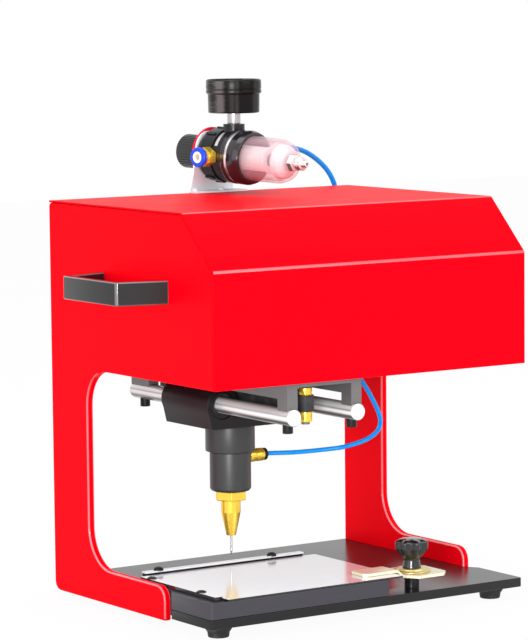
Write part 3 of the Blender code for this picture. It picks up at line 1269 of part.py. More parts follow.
def build_stylus_case(marking_head, finishes):
    """Add the stylus collar, the body with its air chamber, and the brass nozzle."""
    centre = (STYLUS_X, -STYLUS_REACH)
    profile = [
        (COLLAR_RADIUS - COLLAR_EDGE, COLLAR_BOTTOM),
        (COLLAR_RADIUS, COLLAR_BOTTOM + COLLAR_EDGE),
        (COLLAR_RADIUS, STYLUS_TOP),
    ]
    shape = turned(profile, SEGMENTS_LARGE, centre=centre)
    add_piece("stylus_collar", shape, finishes["stylus_grey"], marking_head)

    pin_bore = PIN_ROD_RADIUS + SEAT_GAP
    profile = [
        (pin_bore, CHAMBER_FLOOR),
        (pin_bore, STYLUS_BODY_BOTTOM),
        (STYLUS_BODY_RADIUS - STYLUS_BODY_EDGE, STYLUS_BODY_BOTTOM),
        (STYLUS_BODY_RADIUS - STYLUS_BODY_EDGE / 3, STYLUS_BODY_BOTTOM + STYLUS_BODY_EDGE / 3),
        (STYLUS_BODY_RADIUS, STYLUS_BODY_BOTTOM + STYLUS_BODY_EDGE),
        (STYLUS_BODY_RADIUS, STYLUS_BODY_TOP),
        (CHAMBER_RADIUS, STYLUS_BODY_TOP),
        (CHAMBER_RADIUS, CHAMBER_FLOOR),
    ]
    shape = turned(profile, SEGMENTS_LARGE, centre=centre, bored=True)
    body = add_piece("stylus_body", shape, finishes["stylus_grey"], marking_head)
    port = rod(PORT_RADIUS, SEGMENTS_SMALL, "X", (-STYLUS_REACH, PORT_HEIGHT),
               STYLUS_X, STYLUS_X + STYLUS_BODY_RADIUS + OVERRUN)
    cut(body, port, marking_head)

    nozzle = add_piece("stylus_nozzle",
                       hexagon(NOZZLE_HEX_FLATS, "Z", centre, NOZZLE_HEX_BOTTOM, NOZZLE_TOP),
                       finishes["brass"], marking_head)
    profile = [
        (NOZZLE_TIP_RADIUS, NOZZLE_TIP_BOTTOM),
        (NOZZLE_NECK_RADIUS, NOZZLE_NECK_BOTTOM),
        (NOZZLE_NECK_RADIUS, NOZZLE_HEX_BOTTOM + LAP),
    ]
    join(nozzle, turned(profile, SEGMENTS_MEDIUM, centre=centre), marking_head)
    profile = [
        (NEEDLE_RADIUS + SEAT_GAP, NOZZLE_TIP_BOTTOM - OVERRUN),
        (NEEDLE_RADIUS + SEAT_GAP, NOZZLE_GUIDE_HEIGHT),
        (pin_bore, NOZZLE_GUIDE_HEIGHT),
        (pin_bore, NOZZLE_TOP + OVERRUN),
    ]
    cut(nozzle, turned(profile, SEGMENTS_SMALL, centre=centre), marking_head)


def spring_points():
    """Return the return spring's centre line, which rises in even turns."""
    bottom = CHAMBER_FLOOR + SEAT_GAP + SPRING_WIRE_RADIUS
    top = PISTON_BOTTOM - SEAT_GAP - SPRING_WIRE_RADIUS
    count = SPRING_TURNS * SPRING_POINTS_PER_TURN
    points = []
    for index in range(count + 1):
        angle = math.tau * index / SPRING_POINTS_PER_TURN
        height = bottom + (top - bottom) * index / count
        points.append(Vector((STYLUS_X + SPRING_COIL_RADIUS * math.cos(angle),
                              SPRING_COIL_RADIUS * math.sin(angle) - STYLUS_REACH, height)))
    return points


def least_coil_gap(points):
    """Return the least gap between two turns of the spring, measured on its points."""
    gaps = []
    for index, point in enumerate(points):
        for other in points[index + SPRING_POINTS_PER_TURN // 2:]:
            gaps.append((other - point).length - 2 * SPRING_WIRE_RADIUS)
    return min(gaps)


def build_stylus_pin(marking_head, finishes):
    """Add the striking pin with its piston and needle, and the spring that returns it."""
    centre = (STYLUS_X, -STYLUS_REACH)
    profile = [
        (NEEDLE_RADIUS / 3, NEEDLE_TIP),
        (NEEDLE_RADIUS, NEEDLE_TIP + NEEDLE_POINT),
        (NEEDLE_RADIUS, PIN_ROD_BOTTOM),
        (PIN_ROD_RADIUS, PIN_ROD_BOTTOM),
        (PIN_ROD_RADIUS, PISTON_BOTTOM),
        (CHAMBER_RADIUS - SEAT_GAP, PISTON_BOTTOM),
        (CHAMBER_RADIUS - SEAT_GAP, PISTON_BOTTOM + PISTON_HEIGHT),
    ]
    shape = turned(profile, SEGMENTS_MEDIUM, centre=centre)
    add_piece("stylus_pin", shape, finishes["steel"], marking_head, (*centre, NEEDLE_TIP))
    points = spring_points()
    add_tube("stylus_spring", points, SPRING_WIRE_RADIUS, 1, finishes["steel"], marking_head)
    print(f"least gap between the spring's turns: {least_coil_gap(points):.4f} m")


def build_stylus_fitting(marking_head, finishes):
    """Add the brass air fitting that screws into the stylus body's port."""
    hex_end = FITTING_START + FITTING_HEX_LENGTH
    centre = (-STYLUS_REACH, PORT_HEIGHT)
    profile = [
        (PORT_RADIUS - SEAT_GAP, FITTING_START - (STYLUS_BODY_RADIUS - CHAMBER_RADIUS) / 2),
        (PORT_RADIUS - SEAT_GAP, FITTING_START),
        (FITTING_RADIUS, FITTING_START),
        (FITTING_RADIUS, hex_end),
        (FITTING_RING_RADIUS, hex_end),
        (FITTING_RING_RADIUS, FITTING_END),
        (FITTING_BORE, FITTING_END),
        (FITTING_BORE, FITTING_START - (STYLUS_BODY_RADIUS - CHAMBER_RADIUS) / 2),
    ]
    shape = turned(profile, SEGMENTS_MEDIUM, "X", centre, bored=True)
    add_piece("stylus_fitting", shape, finishes["brass"], marking_head)


def build_stylus_hose(marking_head, finishes):
    """Add the hose from the stylus fitting up to the valve on the X carriage."""
    start = Vector((FITTING_END + SEAT_GAP, -STYLUS_REACH, PORT_HEIGHT))
    end = Vector((VALVE_PORT_X, -VALVE_PORT_REACH, VALVE_PORT_BOTTOM - SEAT_GAP))
    run = 2 * STYLUS_HOSE_RADIUS * HOSE_END_SHARE
    middle = smooth_route([start + Vector((run, 0, 0)), *STYLUS_HOSE_ROUTE, end - Vector((0, 0, run))],
                          2 * STYLUS_HOSE_RADIUS * HOSE_POINT_SHARE)
    add_tube("stylus_hose", [start, *middle, end], STYLUS_HOSE_RADIUS, 2, finishes["blue_hose"], marking_head)


def to_machine(regulator, point):
    """Return a place of the regulator's frame in the machine's frame."""
    turn = regulator.empty.rotation_euler.to_matrix()
    return regulator.empty.location + turn @ Vector(point)


def make_regulator_axis(machine):
    """Return the carrier whose Z runs from the regulator's knob to its drain, with Y upwards."""
    place = Vector((REGULATOR_X, -REGULATOR_REACH, REGULATOR_HEIGHT))
    forward = Vector((math.sin(REGULATOR_YAW), -math.cos(REGULATOR_YAW), 0.0)) * math.cos(REGULATOR_DIP)
    forward.z = -math.sin(REGULATOR_DIP)
    right = Vector((math.cos(REGULATOR_YAW), math.sin(REGULATOR_YAW), 0.0))
    up = forward.cross(right)
    axis = make_carrier("regulator_axis", place, machine)
    axis.empty.rotation_euler = Matrix((right, up, forward)).transposed().to_euler()
    return Carrier(axis.empty, Vector())


def ribbed_loop(radius, along):
    """Return one loop of the pressure knob, whose edge has fine ribs."""
    loop = []
    for index in range(2 * KNOB_RIBS):
        angle = math.pi * index / KNOB_RIBS
        reach = radius - KNOB_RIB * (index % 2)
        loop.append((reach * math.cos(angle), reach * math.sin(angle), along))
    return loop


def build_pressure_knob(regulator, finishes):
    """Add the ribbed knob that sets the pressure, bored for the spindle."""
    bore = SPINDLE_RADIUS + SEAT_GAP
    loops = [
        ribbed_loop(KNOB_RADIUS - KNOB_BEVEL, KNOB_START),
        ribbed_loop(KNOB_RADIUS, KNOB_START + KNOB_BEVEL),
        ribbed_loop(KNOB_RADIUS, KNOB_END),
    ]
    flat = [(x, y, KNOB_END) for x, y in circle(bore, 2 * KNOB_RIBS)]
    deep = [(x, y, KNOB_END - SPINDLE_LENGTH - SEAT_GAP) for x, y in circle(bore, 2 * KNOB_RIBS)]
    add_piece("pressure_knob", loft([*loops, flat, deep]), finishes["black_plastic"], regulator)


def build_regulator_body(regulator, machine, finishes):
    """Add the regulator's body with its neck, spindle, gauge boss, inlet port and outlet."""
    shoulder = NUT_START + NUT_THICKNESS + BRACKET_THICKNESS + 2 * SEAT_GAP
    neck_end = KNOB_END + SEAT_GAP
    profile = [
        (SPINDLE_RADIUS, neck_end - SPINDLE_LENGTH),
        (SPINDLE_RADIUS, neck_end),
        (NECK_RADIUS, neck_end),
        (NECK_RADIUS, shoulder),
        (BODY_RADIUS - BODY_SHOULDER / 2, shoulder),
        (BODY_RADIUS, shoulder + BODY_SHOULDER),
        (BODY_RADIUS, BODY_BAND_START),
        (BODY_BAND_RADIUS, BODY_BAND_START),
        (BODY_BAND_RADIUS, BODY_BAND_END),
        (BODY_RADIUS, BODY_BAND_END),
        (BODY_RADIUS, BODY_END),
    ]
    body = add_piece("regulator_body", turned(profile, SEGMENTS_LARGE), finishes["black_plastic"], regulator)
    boss = rod(GAUGE_BOSS_RADIUS, SEGMENTS_MEDIUM, "Z", (GAUGE_X, -GAUGE_REACH), REGULATOR_HEIGHT, GAUGE_BOSS_TOP)
    join(body, boss, machine)
    collar_room = rod(BOWL_COLLAR_RADIUS + SEAT_GAP, SEGMENTS_LARGE, "Z", (0.0, 0.0), BODY_END,
                      BOWL_COLLAR_END + OVERRUN)
    cut(body, collar_room, regulator)
    stub = rod(GAUGE_STUB_RADIUS + SEAT_GAP, SEGMENTS_SMALL, "Z", (GAUGE_X, -GAUGE_REACH),
               GAUGE_STUB_BOTTOM - SEAT_GAP, GAUGE_BOSS_TOP + OVERRUN)
    cut(body, stub, machine)
    centre = (0.0, SIDE_PORT_START)
    port = rod(PORT_BORE, SEGMENTS_SMALL, "X", centre, -PORT_FLOOR, -BODY_RADIUS - OVERRUN)
    cut(body, port, regulator)
    join(body, hexagon(OUTLET_HEX_FLATS, "X", centre, PORT_FLOOR, BODY_RADIUS + OUTLET_HEX_LENGTH), regulator)
    outlet = rod(OUTLET_BOSS_RADIUS, SEGMENTS_MEDIUM, "X", centre, BODY_RADIUS, BODY_RADIUS + OUTLET_LENGTH)
    join(body, outlet, regulator)


def build_bracket(regulator, machine, finishes):
    """Add the panel nut and the bent bracket that holds the regulator on the head."""
    neck_bore = NECK_RADIUS + SEAT_GAP
    nut_end = NUT_START + NUT_THICKNESS
    profile = [(neck_bore, NUT_START), (NUT_RADIUS, NUT_START), (NUT_RADIUS, nut_end), (neck_bore, nut_end)]
    add_piece("panel_nut", turned(profile, SEGMENTS_LARGE, bored=True), finishes["red_plastic"], regulator)

    plate_start = nut_end + SEAT_GAP
    plate_end = plate_start + BRACKET_THICKNESS
    drop = REGULATOR_HEIGHT - FRAME_TOP
    waist = (BRACKET_CROWN_RADIUS + BRACKET_HALF_WIDTH) / 2
    outline = rounded([
        (-BRACKET_HALF_WIDTH, -drop - OVERRUN, 0.0),
        (BRACKET_HALF_WIDTH, -drop - OVERRUN, 0.0),
        (waist, -drop / 2, 0.0),
        (BRACKET_CROWN_RADIUS, BRACKET_CROWN_RADIUS, BRACKET_CROWN_RADIUS * BRACKET_CROWN_SHARE),
        (-BRACKET_CROWN_RADIUS, BRACKET_CROWN_RADIUS, BRACKET_CROWN_RADIUS * BRACKET_CROWN_SHARE),
        (-waist, -drop / 2, 0.0),
    ])
    bracket = add_piece("regulator_bracket", prism(outline, "Z", plate_start, plate_end),
                        finishes["bracket_white"], regulator)
    seat = FRAME_TOP + SEAT_GAP
    plate_middle = (plate_start + plate_end) / 2
    heel_left = to_machine(regulator, (-BRACKET_HALF_WIDTH, -drop, plate_middle))
    heel_right = to_machine(regulator, (BRACKET_HALF_WIDTH, -drop, plate_middle))
    foot = prism([(heel_left.x, -BRACKET_FOOT_REACH), (heel_right.x, -BRACKET_FOOT_REACH),
                  (heel_right.x, heel_right.y), (heel_left.x, heel_left.y)], "Z", seat, seat + BRACKET_THICKNESS)
    join(bracket, foot, machine)
    for x in BRACKET_SCREWS_X:
        screw = rod(BRACKET_SCREW_RADIUS, SEGMENTS_SMALL, "Z", (x, -BRACKET_SCREW_REACH),
                    seat + LAP, seat + BRACKET_THICKNESS + BRACKET_SCREW_HEIGHT)
        join(bracket, screw, machine)
    cut(bracket, rod(neck_bore, SEGMENTS_LARGE, "Z", (0.0, 0.0), plate_start - OVERRUN, plate_end + OVERRUN),
        regulator)
    below = block(-FRAME_WIDTH / 2, FRAME_WIDTH / 2, -HEAD_DEPTH, FRAME_WIDTH / 2, HEAD_BOTTOM, seat)
    cut(bracket, below, machine)


def build_bowl(regulator, finishes):
    """Add the bowl collar, the clear bowl with its drain nut, the filter element and the drain valve."""
    collar_bore = BOWL_RADIUS + SEAT_GAP
    profile = [
        (collar_bore, COLLAR_START),
        (BOWL_COLLAR_RADIUS, COLLAR_START),
        (BOWL_COLLAR_RADIUS, BOWL_COLLAR_END - BOWL_COLLAR_LIP),
        (BOWL_COLLAR_RADIUS - BOWL_COLLAR_LIP, BOWL_COLLAR_END),
        (collar_bore, BOWL_COLLAR_END),
    ]
    add_piece("bowl_collar", turned(profile, SEGMENTS_LARGE, bored=True), finishes["black_plastic"], regulator)

    inner = BOWL_RADIUS - BOWL_WALL
    stem_bore = DRAIN_STEM_RADIUS + SEAT_GAP
    outside = [(BOWL_RADIUS, BOWL_START)]
    inside = [(inner, BOWL_START)]
    for step in range(BOWL_DOME_STEPS + 1):
        angle = math.pi / 2 * step / BOWL_DOME_STEPS
        fall = 1 - math.cos(angle)
        rise = math.sin(angle)
        outside.append((BOWL_RADIUS - (BOWL_RADIUS - BOWL_END_RADIUS) * fall,
                        BOWL_SHOULDER + (BOWL_END - BOWL_SHOULDER) * rise))
        inside.append((inner - (BOWL_RADIUS - BOWL_END_RADIUS) * fall,
                       BOWL_SHOULDER + (BOWL_END - BOWL_WALL - BOWL_SHOULDER) * rise))
    nut_end = BOWL_END + DRAIN_NUT_LENGTH
    drain_nut = [(DRAIN_NUT_RADIUS, BOWL_END), (DRAIN_NUT_RADIUS, nut_end), (stem_bore, nut_end)]
    profile = [*outside, *drain_nut, (stem_bore, BOWL_END - BOWL_WALL), *inside[::-1]]
    add_piece("filter_bowl", turned(profile, SEGMENTS_LARGE, bored=True), finishes["clear_bowl"], regulator)

    start = BODY_END + SEAT_GAP
    profile = [(FILTER_CORE_RADIUS, start), (FILTER_RADIUS, start), (FILTER_RADIUS, FILTER_END),
               (FILTER_CORE_RADIUS, FILTER_END)]
    add_piece("filter_element", turned(profile, SEGMENTS_MEDIUM, bored=True), finishes["white_plastic"], regulator)

    barrel_start = nut_end + DRAIN_TRAVEL + SEAT_GAP
    barrel_end = barrel_start + DRAIN_BARREL_LENGTH
    profile = [
        (DRAIN_STEM_RADIUS, DRAIN_INNER),
        (DRAIN_STEM_RADIUS, barrel_start),
        (DRAIN_BARREL_RADIUS, barrel_start),
        (DRAIN_BARREL_RADIUS, barrel_end),
        (DRAIN_TIP_RADIUS, barrel_end),
        (DRAIN_TIP_RADIUS, DRAIN_END),
        (DRAIN_BORE, DRAIN_END),
        (DRAIN_BORE, DRAIN_INNER),
    ]
    add_piece("drain_valve", turned(profile, SEGMENTS_MEDIUM, bored=True), finishes["chrome"], regulator)


def build_inlet(regulator, finishes):
    """Add the inlet fitting and its release collar."""
    centre = (0.0, SIDE_PORT_START)
    seat = -BODY_RADIUS - SEAT_GAP
    hex_end = seat - INLET_HEX_LENGTH
    boss_end = hex_end - INLET_BOSS_LENGTH
    inlet = add_piece("inlet_fitting", hexagon(INLET_HEX_FLATS, "X", centre, seat, hex_end),
                      finishes["brass"], regulator)
    join(inlet, rod(INLET_BOSS_RADIUS, SEGMENTS_MEDIUM, "X", centre, hex_end + LAP, boss_end), regulator)
    stub = rod(PORT_BORE - SEAT_GAP, SEGMENTS_SMALL, "X", centre, -PORT_FLOOR - SEAT_GAP, seat - LAP)
    join(inlet, stub, regulator)
    socket_floor = boss_end + INLET_SLEEVE_LENGTH + INLET_COLLAR_TRAVEL + SEAT_GAP
    cut(inlet, rod(INLET_BORE, SEGMENTS_MEDIUM, "X", centre, boss_end - OVERRUN, socket_floor), regulator)
    cut(inlet, rod(INLET_TUBE_BORE, SEGMENTS_SMALL, "X", centre, boss_end - OVERRUN, OVERRUN - PORT_FLOOR), regulator)

    flange_start = boss_end - INLET_COLLAR_TRAVEL - SEAT_GAP
    flange_end = flange_start - INLET_COLLAR_LENGTH
    profile = [
        (INLET_TUBE_BORE, flange_end),
        (INLET_COLLAR_RADIUS, flange_end),
        (INLET_COLLAR_RADIUS, flange_start),
        (INLET_SLEEVE_RADIUS, flange_start),
        (INLET_SLEEVE_RADIUS, boss_end + INLET_SLEEVE_LENGTH),
        (INLET_TUBE_BORE, boss_end + INLET_SLEEVE_LENGTH),
    ]
    shape = turned(profile, SEGMENTS_MEDIUM, "X", centre, bored=True)
    add_piece("inlet_release_collar", shape, finishes["blue_plastic"], regulator, (flange_end, *centre))


def build_gauge(machine, finishes):
    """Add the upright pressure gauge: its body with stem, dial and bezel, the lens and the needle."""
    centre = (GAUGE_X, -GAUGE_REACH)
    stem_bottom = GAUGE_BOSS_TOP + SEAT_GAP
    bore = GAUGE_RADIUS - GAUGE_WALL
    lip = GAUGE_BEZEL_RADIUS - GAUGE_BEZEL_LIP
    lens_top = GAUGE_TOP - GAUGE_LENS_RECESS
    lens_bottom = lens_top - GAUGE_LENS_THICKNESS
    lens_seat = lens_bottom - SEAT_GAP
    profile = [
        (GAUGE_STUB_RADIUS, GAUGE_STUB_BOTTOM),
        (GAUGE_STUB_RADIUS, stem_bottom),
        (GAUGE_STEM_RADIUS, stem_bottom),
        (GAUGE_STEM_RADIUS, GAUGE_BOTTOM),
        (GAUGE_RADIUS, GAUGE_BOTTOM),
        (GAUGE_RADIUS, GAUGE_BEZEL_BOTTOM),
        (GAUGE_BEZEL_RADIUS, GAUGE_BEZEL_BOTTOM),
        (GAUGE_BEZEL_RADIUS, GAUGE_TOP - GAUGE_BEZEL_LIP / 2),
        (GAUGE_BEZEL_RADIUS - GAUGE_BEZEL_LIP / 2, GAUGE_TOP),
        (lip, GAUGE_TOP),
        (lip, lens_seat),
        (bore, lens_seat),
        (bore, GAUGE_DIAL_HEIGHT),
        (GAUGE_PIN_RADIUS, GAUGE_DIAL_HEIGHT),
        (GAUGE_PIN_RADIUS, GAUGE_NEEDLE_TOP),
    ]
    add_piece("gauge_body", turned(profile, SEGMENTS_LARGE, centre=centre), finishes["gauge_black"], machine)
    shape = turned([(lip - SEAT_GAP, lens_bottom), (lip - SEAT_GAP, lens_top)], SEGMENTS_LARGE, centre=centre)
    add_piece("gauge_lens", shape, finishes["clear_lens"], machine)

    half = GAUGE_NEEDLE_WIDTH / 2
    outline = [(-GAUGE_NEEDLE_TAIL, -half), (0.0, -half), (GAUGE_NEEDLE_LENGTH, -half / 4),
               (GAUGE_NEEDLE_LENGTH, half / 4), (0.0, half), (-GAUGE_NEEDLE_TAIL, half)]
    cosine, sine = math.cos(GAUGE_NEEDLE_REST), math.sin(GAUGE_NEEDLE_REST)
    placed = [(centre[0] + x * cosine - y * sine, centre[1] + x * sine + y * cosine) for x, y in outline]
    shape = prism(placed, "Z", GAUGE_NEEDLE_BOTTOM, GAUGE_NEEDLE_TOP)
    pivot = (*centre, GAUGE_NEEDLE_BOTTOM)
    needle = add_piece("gauge_needle", shape, finishes["red_plastic"], machine, pivot)
    hub_bottom = GAUGE_NEEDLE_BOTTOM - GAUGE_NEEDLE_RISE / 2
    hub_top = GAUGE_NEEDLE_TOP + GAUGE_NEEDLE_THICKNESS / 2
    join(needle, rod(GAUGE_HUB_RADIUS, SEGMENTS_SMALL, "Z", centre, hub_bottom, hub_top), machine)
    bore = rod(GAUGE_PIN_RADIUS + SEAT_GAP, SEGMENTS_SMALL, "Z", centre, hub_bottom - OVERRUN, hub_top + OVERRUN)
    cut(needle, bore, machine)


def build_feed_hose(regulator, machine, finishes):
    """Add the hose from the regulator's outlet down to the elbow on the rear panel."""
    outlet_end = BODY_RADIUS + OUTLET_LENGTH
    start = to_machine(regulator, (outlet_end + SEAT_GAP, 0.0, SIDE_PORT_START))
    run = 2 * FEED_HOSE_RADIUS * HOSE_END_SHARE
    straight = to_machine(regulator, (outlet_end + SEAT_GAP + run, 0.0, SIDE_PORT_START))
    end = Vector((ELBOW_X, ELBOW_STANDOFF, ELBOW_TOP + SEAT_GAP))
    middle = smooth_route([straight, *FEED_HOSE_ROUTE, end + Vector((0, 0, run))],
                          2 * FEED_HOSE_RADIUS * HOSE_POINT_SHARE)
    add_tube("feed_hose", [start, *middle, end], FEED_HOSE_RADIUS, 2, finishes["blue_hose"], machine)


def build_rear_panel(machine, finishes):
    """Add the elbow that takes the feed hose and the control socket, both on the rear cover."""
    barrel = rod(ELBOW_RADIUS, SEGMENTS_MEDIUM, "Z", (ELBOW_X, ELBOW_STANDOFF), ELBOW_HEIGHT - ELBOW_RADIUS, ELBOW_TOP)
    elbow = add_piece("rear_elbow", barrel, finishes["brass"], machine)
    place = (ELBOW_X, ELBOW_HEIGHT)
    join(elbow, rod(ELBOW_STUB_RADIUS, SEGMENTS_SMALL, "Y", place, -SHEET_THICKNESS - OVERRUN, ELBOW_STANDOFF), machine)
    flange = rod(ELBOW_FLANGE_RADIUS, SEGMENTS_MEDIUM, "Y", place, SEAT_GAP, SEAT_GAP + ELBOW_FLANGE_LENGTH)
    join(elbow, flange, machine)

    half = SOCKET_FLANGE / 2
    corners = [(-half, -half), (half, -half), (half, half), (-half, half)]
    outline = rounded([(SOCKET_X + x, SOCKET_HEIGHT + z, SOCKET_FLANGE_CORNER) for x, z in corners])
    flange_end = SEAT_GAP + SOCKET_FLANGE_THICKNESS
    socket_end = flange_end + SOCKET_LENGTH
    socket = add_piece("control_socket", prism(outline, "Y", SEAT_GAP, flange_end), finishes["steel"], machine)
    place = (SOCKET_X, SOCKET_HEIGHT)
    join(socket, rod(SOCKET_RADIUS, SEGMENTS_MEDIUM, "Y", place, flange_end - LAP, socket_end), machine)
    join(socket, rod(SOCKET_TAIL_RADIUS, SEGMENTS_MEDIUM, "Y", place, -SHEET_THICKNESS - SOCKET_TAIL_LENGTH,
                     SEAT_GAP + LAP), machine)
    cut(socket, rod(SOCKET_BORE, SEGMENTS_MEDIUM, "Y", place, socket_end - SOCKET_DEPTH, socket_end + OVERRUN), machine)


def main():
    """Build the whole machine."""
    clear_scene()
    finishes = make_finishes()
    machine = make_carrier("machine", (0.0, (HEAD_DEPTH - MACHINE_REAR) / 2, FOOT_HEIGHT))
    build_side_plates(machine, finishes)
    build_covers(machine, finishes)
    build_base(machine, finishes)
    build_table(machine, finishes)
    build_clamp(machine, finishes)
    build_handles(machine, finishes)
    build_rails(machine, finishes)
    build_x_drive(machine, finishes)

    cross_slide = make_carrier("cross_slide", (GANTRY_X, -X_BELT_REACH, X_RAIL_HEIGHT), machine)
    build_x_carriage(cross_slide, finishes)
    build_air_valve(cross_slide, finishes)
    build_y_channel(cross_slide, finishes)
    build_y_rods(cross_slide, finishes)
    build_y_drive(cross_slide, finishes)

    marking_head = make_carrier("marking_head", (GANTRY_X, -STYLUS_REACH, Y_ROD_HEIGHT), cross_slide)
    build_head_carriage(marking_head, finishes)
    build_bearings(marking_head, finishes)
    build_stylus_case(marking_head, finishes)
    build_stylus_pin(marking_head, finishes)
    build_stylus_fitting(marking_head, finishes)
    build_stylus_hose(marking_head, finishes)

    regulator = make_regulator_axis(machine)
    build_pressure_knob(regulator, finishes)
    build_regulator_body(regulator, machine, finishes)
    build_bracket(regulator, machine, finishes)
    build_bowl(regulator, finishes)
    build_inlet(regulator, finishes)
    build_gauge(machine, finishes)
    build_feed_hose(regulator, machine, finishes)
    build_rear_panel(machine, finishes)


main()
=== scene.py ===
"""Looks of a benchtop nameplate marking machine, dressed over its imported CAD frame.

Each sub-assembly is a class that builds its meshes and gives them their finishes.
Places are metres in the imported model's frame. MACHINE is where the machine's own
drawing frame starts in it: X to the right, Y to the back, Z up from the base.
"""

import logging
import math
from dataclasses import dataclass
from enum import Enum
from typing import Any, Callable, ClassVar, Optional, Sequence, Union

import bmesh
import bpy
from mathutils import Matrix, Vector

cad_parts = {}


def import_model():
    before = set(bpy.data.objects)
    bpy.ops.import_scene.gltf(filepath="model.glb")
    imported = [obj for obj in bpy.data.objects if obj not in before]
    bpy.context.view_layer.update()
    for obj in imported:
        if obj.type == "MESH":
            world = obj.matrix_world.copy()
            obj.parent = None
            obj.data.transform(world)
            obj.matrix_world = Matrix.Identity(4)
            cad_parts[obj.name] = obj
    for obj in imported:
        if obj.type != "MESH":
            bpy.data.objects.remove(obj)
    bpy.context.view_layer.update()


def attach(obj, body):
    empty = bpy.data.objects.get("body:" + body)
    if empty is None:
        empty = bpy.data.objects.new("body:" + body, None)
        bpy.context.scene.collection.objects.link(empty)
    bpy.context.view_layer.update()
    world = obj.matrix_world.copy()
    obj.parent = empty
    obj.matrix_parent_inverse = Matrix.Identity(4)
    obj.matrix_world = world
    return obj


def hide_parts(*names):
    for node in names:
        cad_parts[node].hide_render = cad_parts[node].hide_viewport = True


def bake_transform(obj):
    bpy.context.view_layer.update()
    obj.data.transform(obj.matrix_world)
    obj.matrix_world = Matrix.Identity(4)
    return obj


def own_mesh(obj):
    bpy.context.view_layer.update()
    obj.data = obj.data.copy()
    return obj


LOG = logging.getLogger("marking_machine")

Point2 = tuple[float, float]
Point3 = tuple[float, float, float]
Number = Union[float, "Value"]
Profile = Sequence[tuple[float, ...]]
Stops = Sequence[tuple[float, Sequence[float]]]
Spots = Sequence[tuple[Point3, float]]
Tone = Callable[["Facet"], float]
Reach = Callable[[float, float], float]

MACHINE = Vector((0.0, 0.13976551, 0.013))
SIDES = ("left", "right")
ROD_X = {"left": -0.0985, "right": -0.0175}
ROD_HEIGHT = 0.210
SMOOTH_ANGLE = math.radians(32)
FLAT_ANGLE = math.radians(0.8)
ARC_CHORD = 0.0006
DRAWN_MERGE = 1e-6
COPIED_MERGE = 2e-6
# the face attribute that carries painted highlight and painted shade
EDGE_NAME = "edge"
EDGE_AREA_SHARE = 0.012
WHITE = (1.0, 1.0, 1.0)


class Axis(Enum):
    """A direction of the machine that a turned or extruded piece follows."""

    X = "X"
    Y = "Y"
    Z = "Z"


def machine_frame(axis: Axis, centre: Point2 = (0.0, 0.0)) -> Matrix:
    """Return the frame whose Z runs along an axis of the machine, through a centre across it.

    Args:
        axis: the direction that the frame's Z follows.
        centre: the two other places, in the order x, y, z without the axis itself.

    Returns:
        The frame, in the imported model's metres.
    """
    first, second = centre
    x, y, z = Vector((1, 0, 0)), Vector((0, 1, 0)), Vector((0, 0, 1))
    columns = {
        Axis.X: (y, z, x, Vector((0, first, second))),
        Axis.Y: (z, x, y, Vector((first, 0, second))),
        Axis.Z: (x, y, z, Vector((first, second, 0))),
    }[axis]
    frame = Matrix.Identity(4)
    for index, column in enumerate(columns):
        frame.col[index] = (*column, 1.0 if index == 3 else 0.0)
    return Matrix.Translation(MACHINE) @ frame


def in_scene(name: str, data: bpy.types.ID) -> bpy.types.Object:
    """Return a new object of the scene that shows a mesh, a curve, a lamp or a camera."""
    made = bpy.data.objects.new(name, data)
    bpy.context.scene.collection.objects.link(made)
    return made


def around(middle: float, half: float) -> Point2:
    """Return the two ends of a span."""
    return (middle - half, middle + half)


def rectangle(x: Point2, y: Point2, inset: float = 0.0) -> list[Point2]:
    """Return the corners of a rectangle, drawn in by an inset on all sides."""
    (left, right), (near, far) = x, y
    left, right, near, far = left + inset, right - inset, near + inset, far - inset
    return [(left, near), (right, near), (right, far), (left, far)]


def tube(bore: float, radius: float, span: Point2, edges: Point2) -> Profile:
    """Return the profile of a cylinder, or of a tube where it has a bore.

    Args:
        bore: the radius of the bore, or 0.
        radius: the outer radius.
        span: where it starts and ends along the axis.
        edges: how far the outer edge is rounded at its start and end.

    Returns:
        The profile's corners.
    """
    (low, high), (first, second) = span, edges
    return ((bore, low), (radius, low, first), (radius, high, second), (bore, high))


class Value:
    """A shader socket that takes Python's operators, each as a Math node."""

    def __init__(self, tree: "Tree", socket: bpy.types.NodeSocket) -> None:
        """Wrap a socket of a tree."""
        self.tree = tree
        self.socket = socket

    def _math(self, operation: str, first: Number, second: Number) -> "Value":
        """Return the socket of a new Math node."""
        settings = {"operation": operation}
        return self.tree.node("ShaderNodeMath", settings, {0: first, 1: second}).out(0)

    def __add__(self, other: Number) -> "Value":
        """Return the sum."""
        return self._math("ADD", self, other)

    def __sub__(self, other: Number) -> "Value":
        """Return the difference."""
        return self._math("SUBTRACT", self, other)

    def __rsub__(self, other: Number) -> "Value":
        """Return the difference from the other."""
        return self._math("SUBTRACT", other, self)

    def __mul__(self, other: Number) -> "Value":
        """Return the product."""
        return self._math("MULTIPLY", self, other)

    def __pow__(self, other: Number) -> "Value":
        """Return the power."""
        return self._math("POWER", self, other)

    def least(self, other: Number) -> "Value":
        """Return the smaller of the two."""
        return self._math("MINIMUM", self, other)

    def most(self, other: Number) -> "Value":
        """Return the larger of the two."""
        return self._math("MAXIMUM", self, other)

    def above(self, other: Number) -> "Value":
        """Return 1 where this is greater."""
        return self._math("GREATER_THAN", self, other)


class Node:
    """A shader node whose outputs come back as values."""

    def __init__(self, tree: "Tree", node: bpy.types.Node) -> None:
        """Wrap a node of a tree."""
        self.tree = tree
        self.node = node

    def out(self, name: Union[int, str]) -> Value:
        """Return an output by its name or place."""
        return Value(self.tree, self.node.outputs[name])


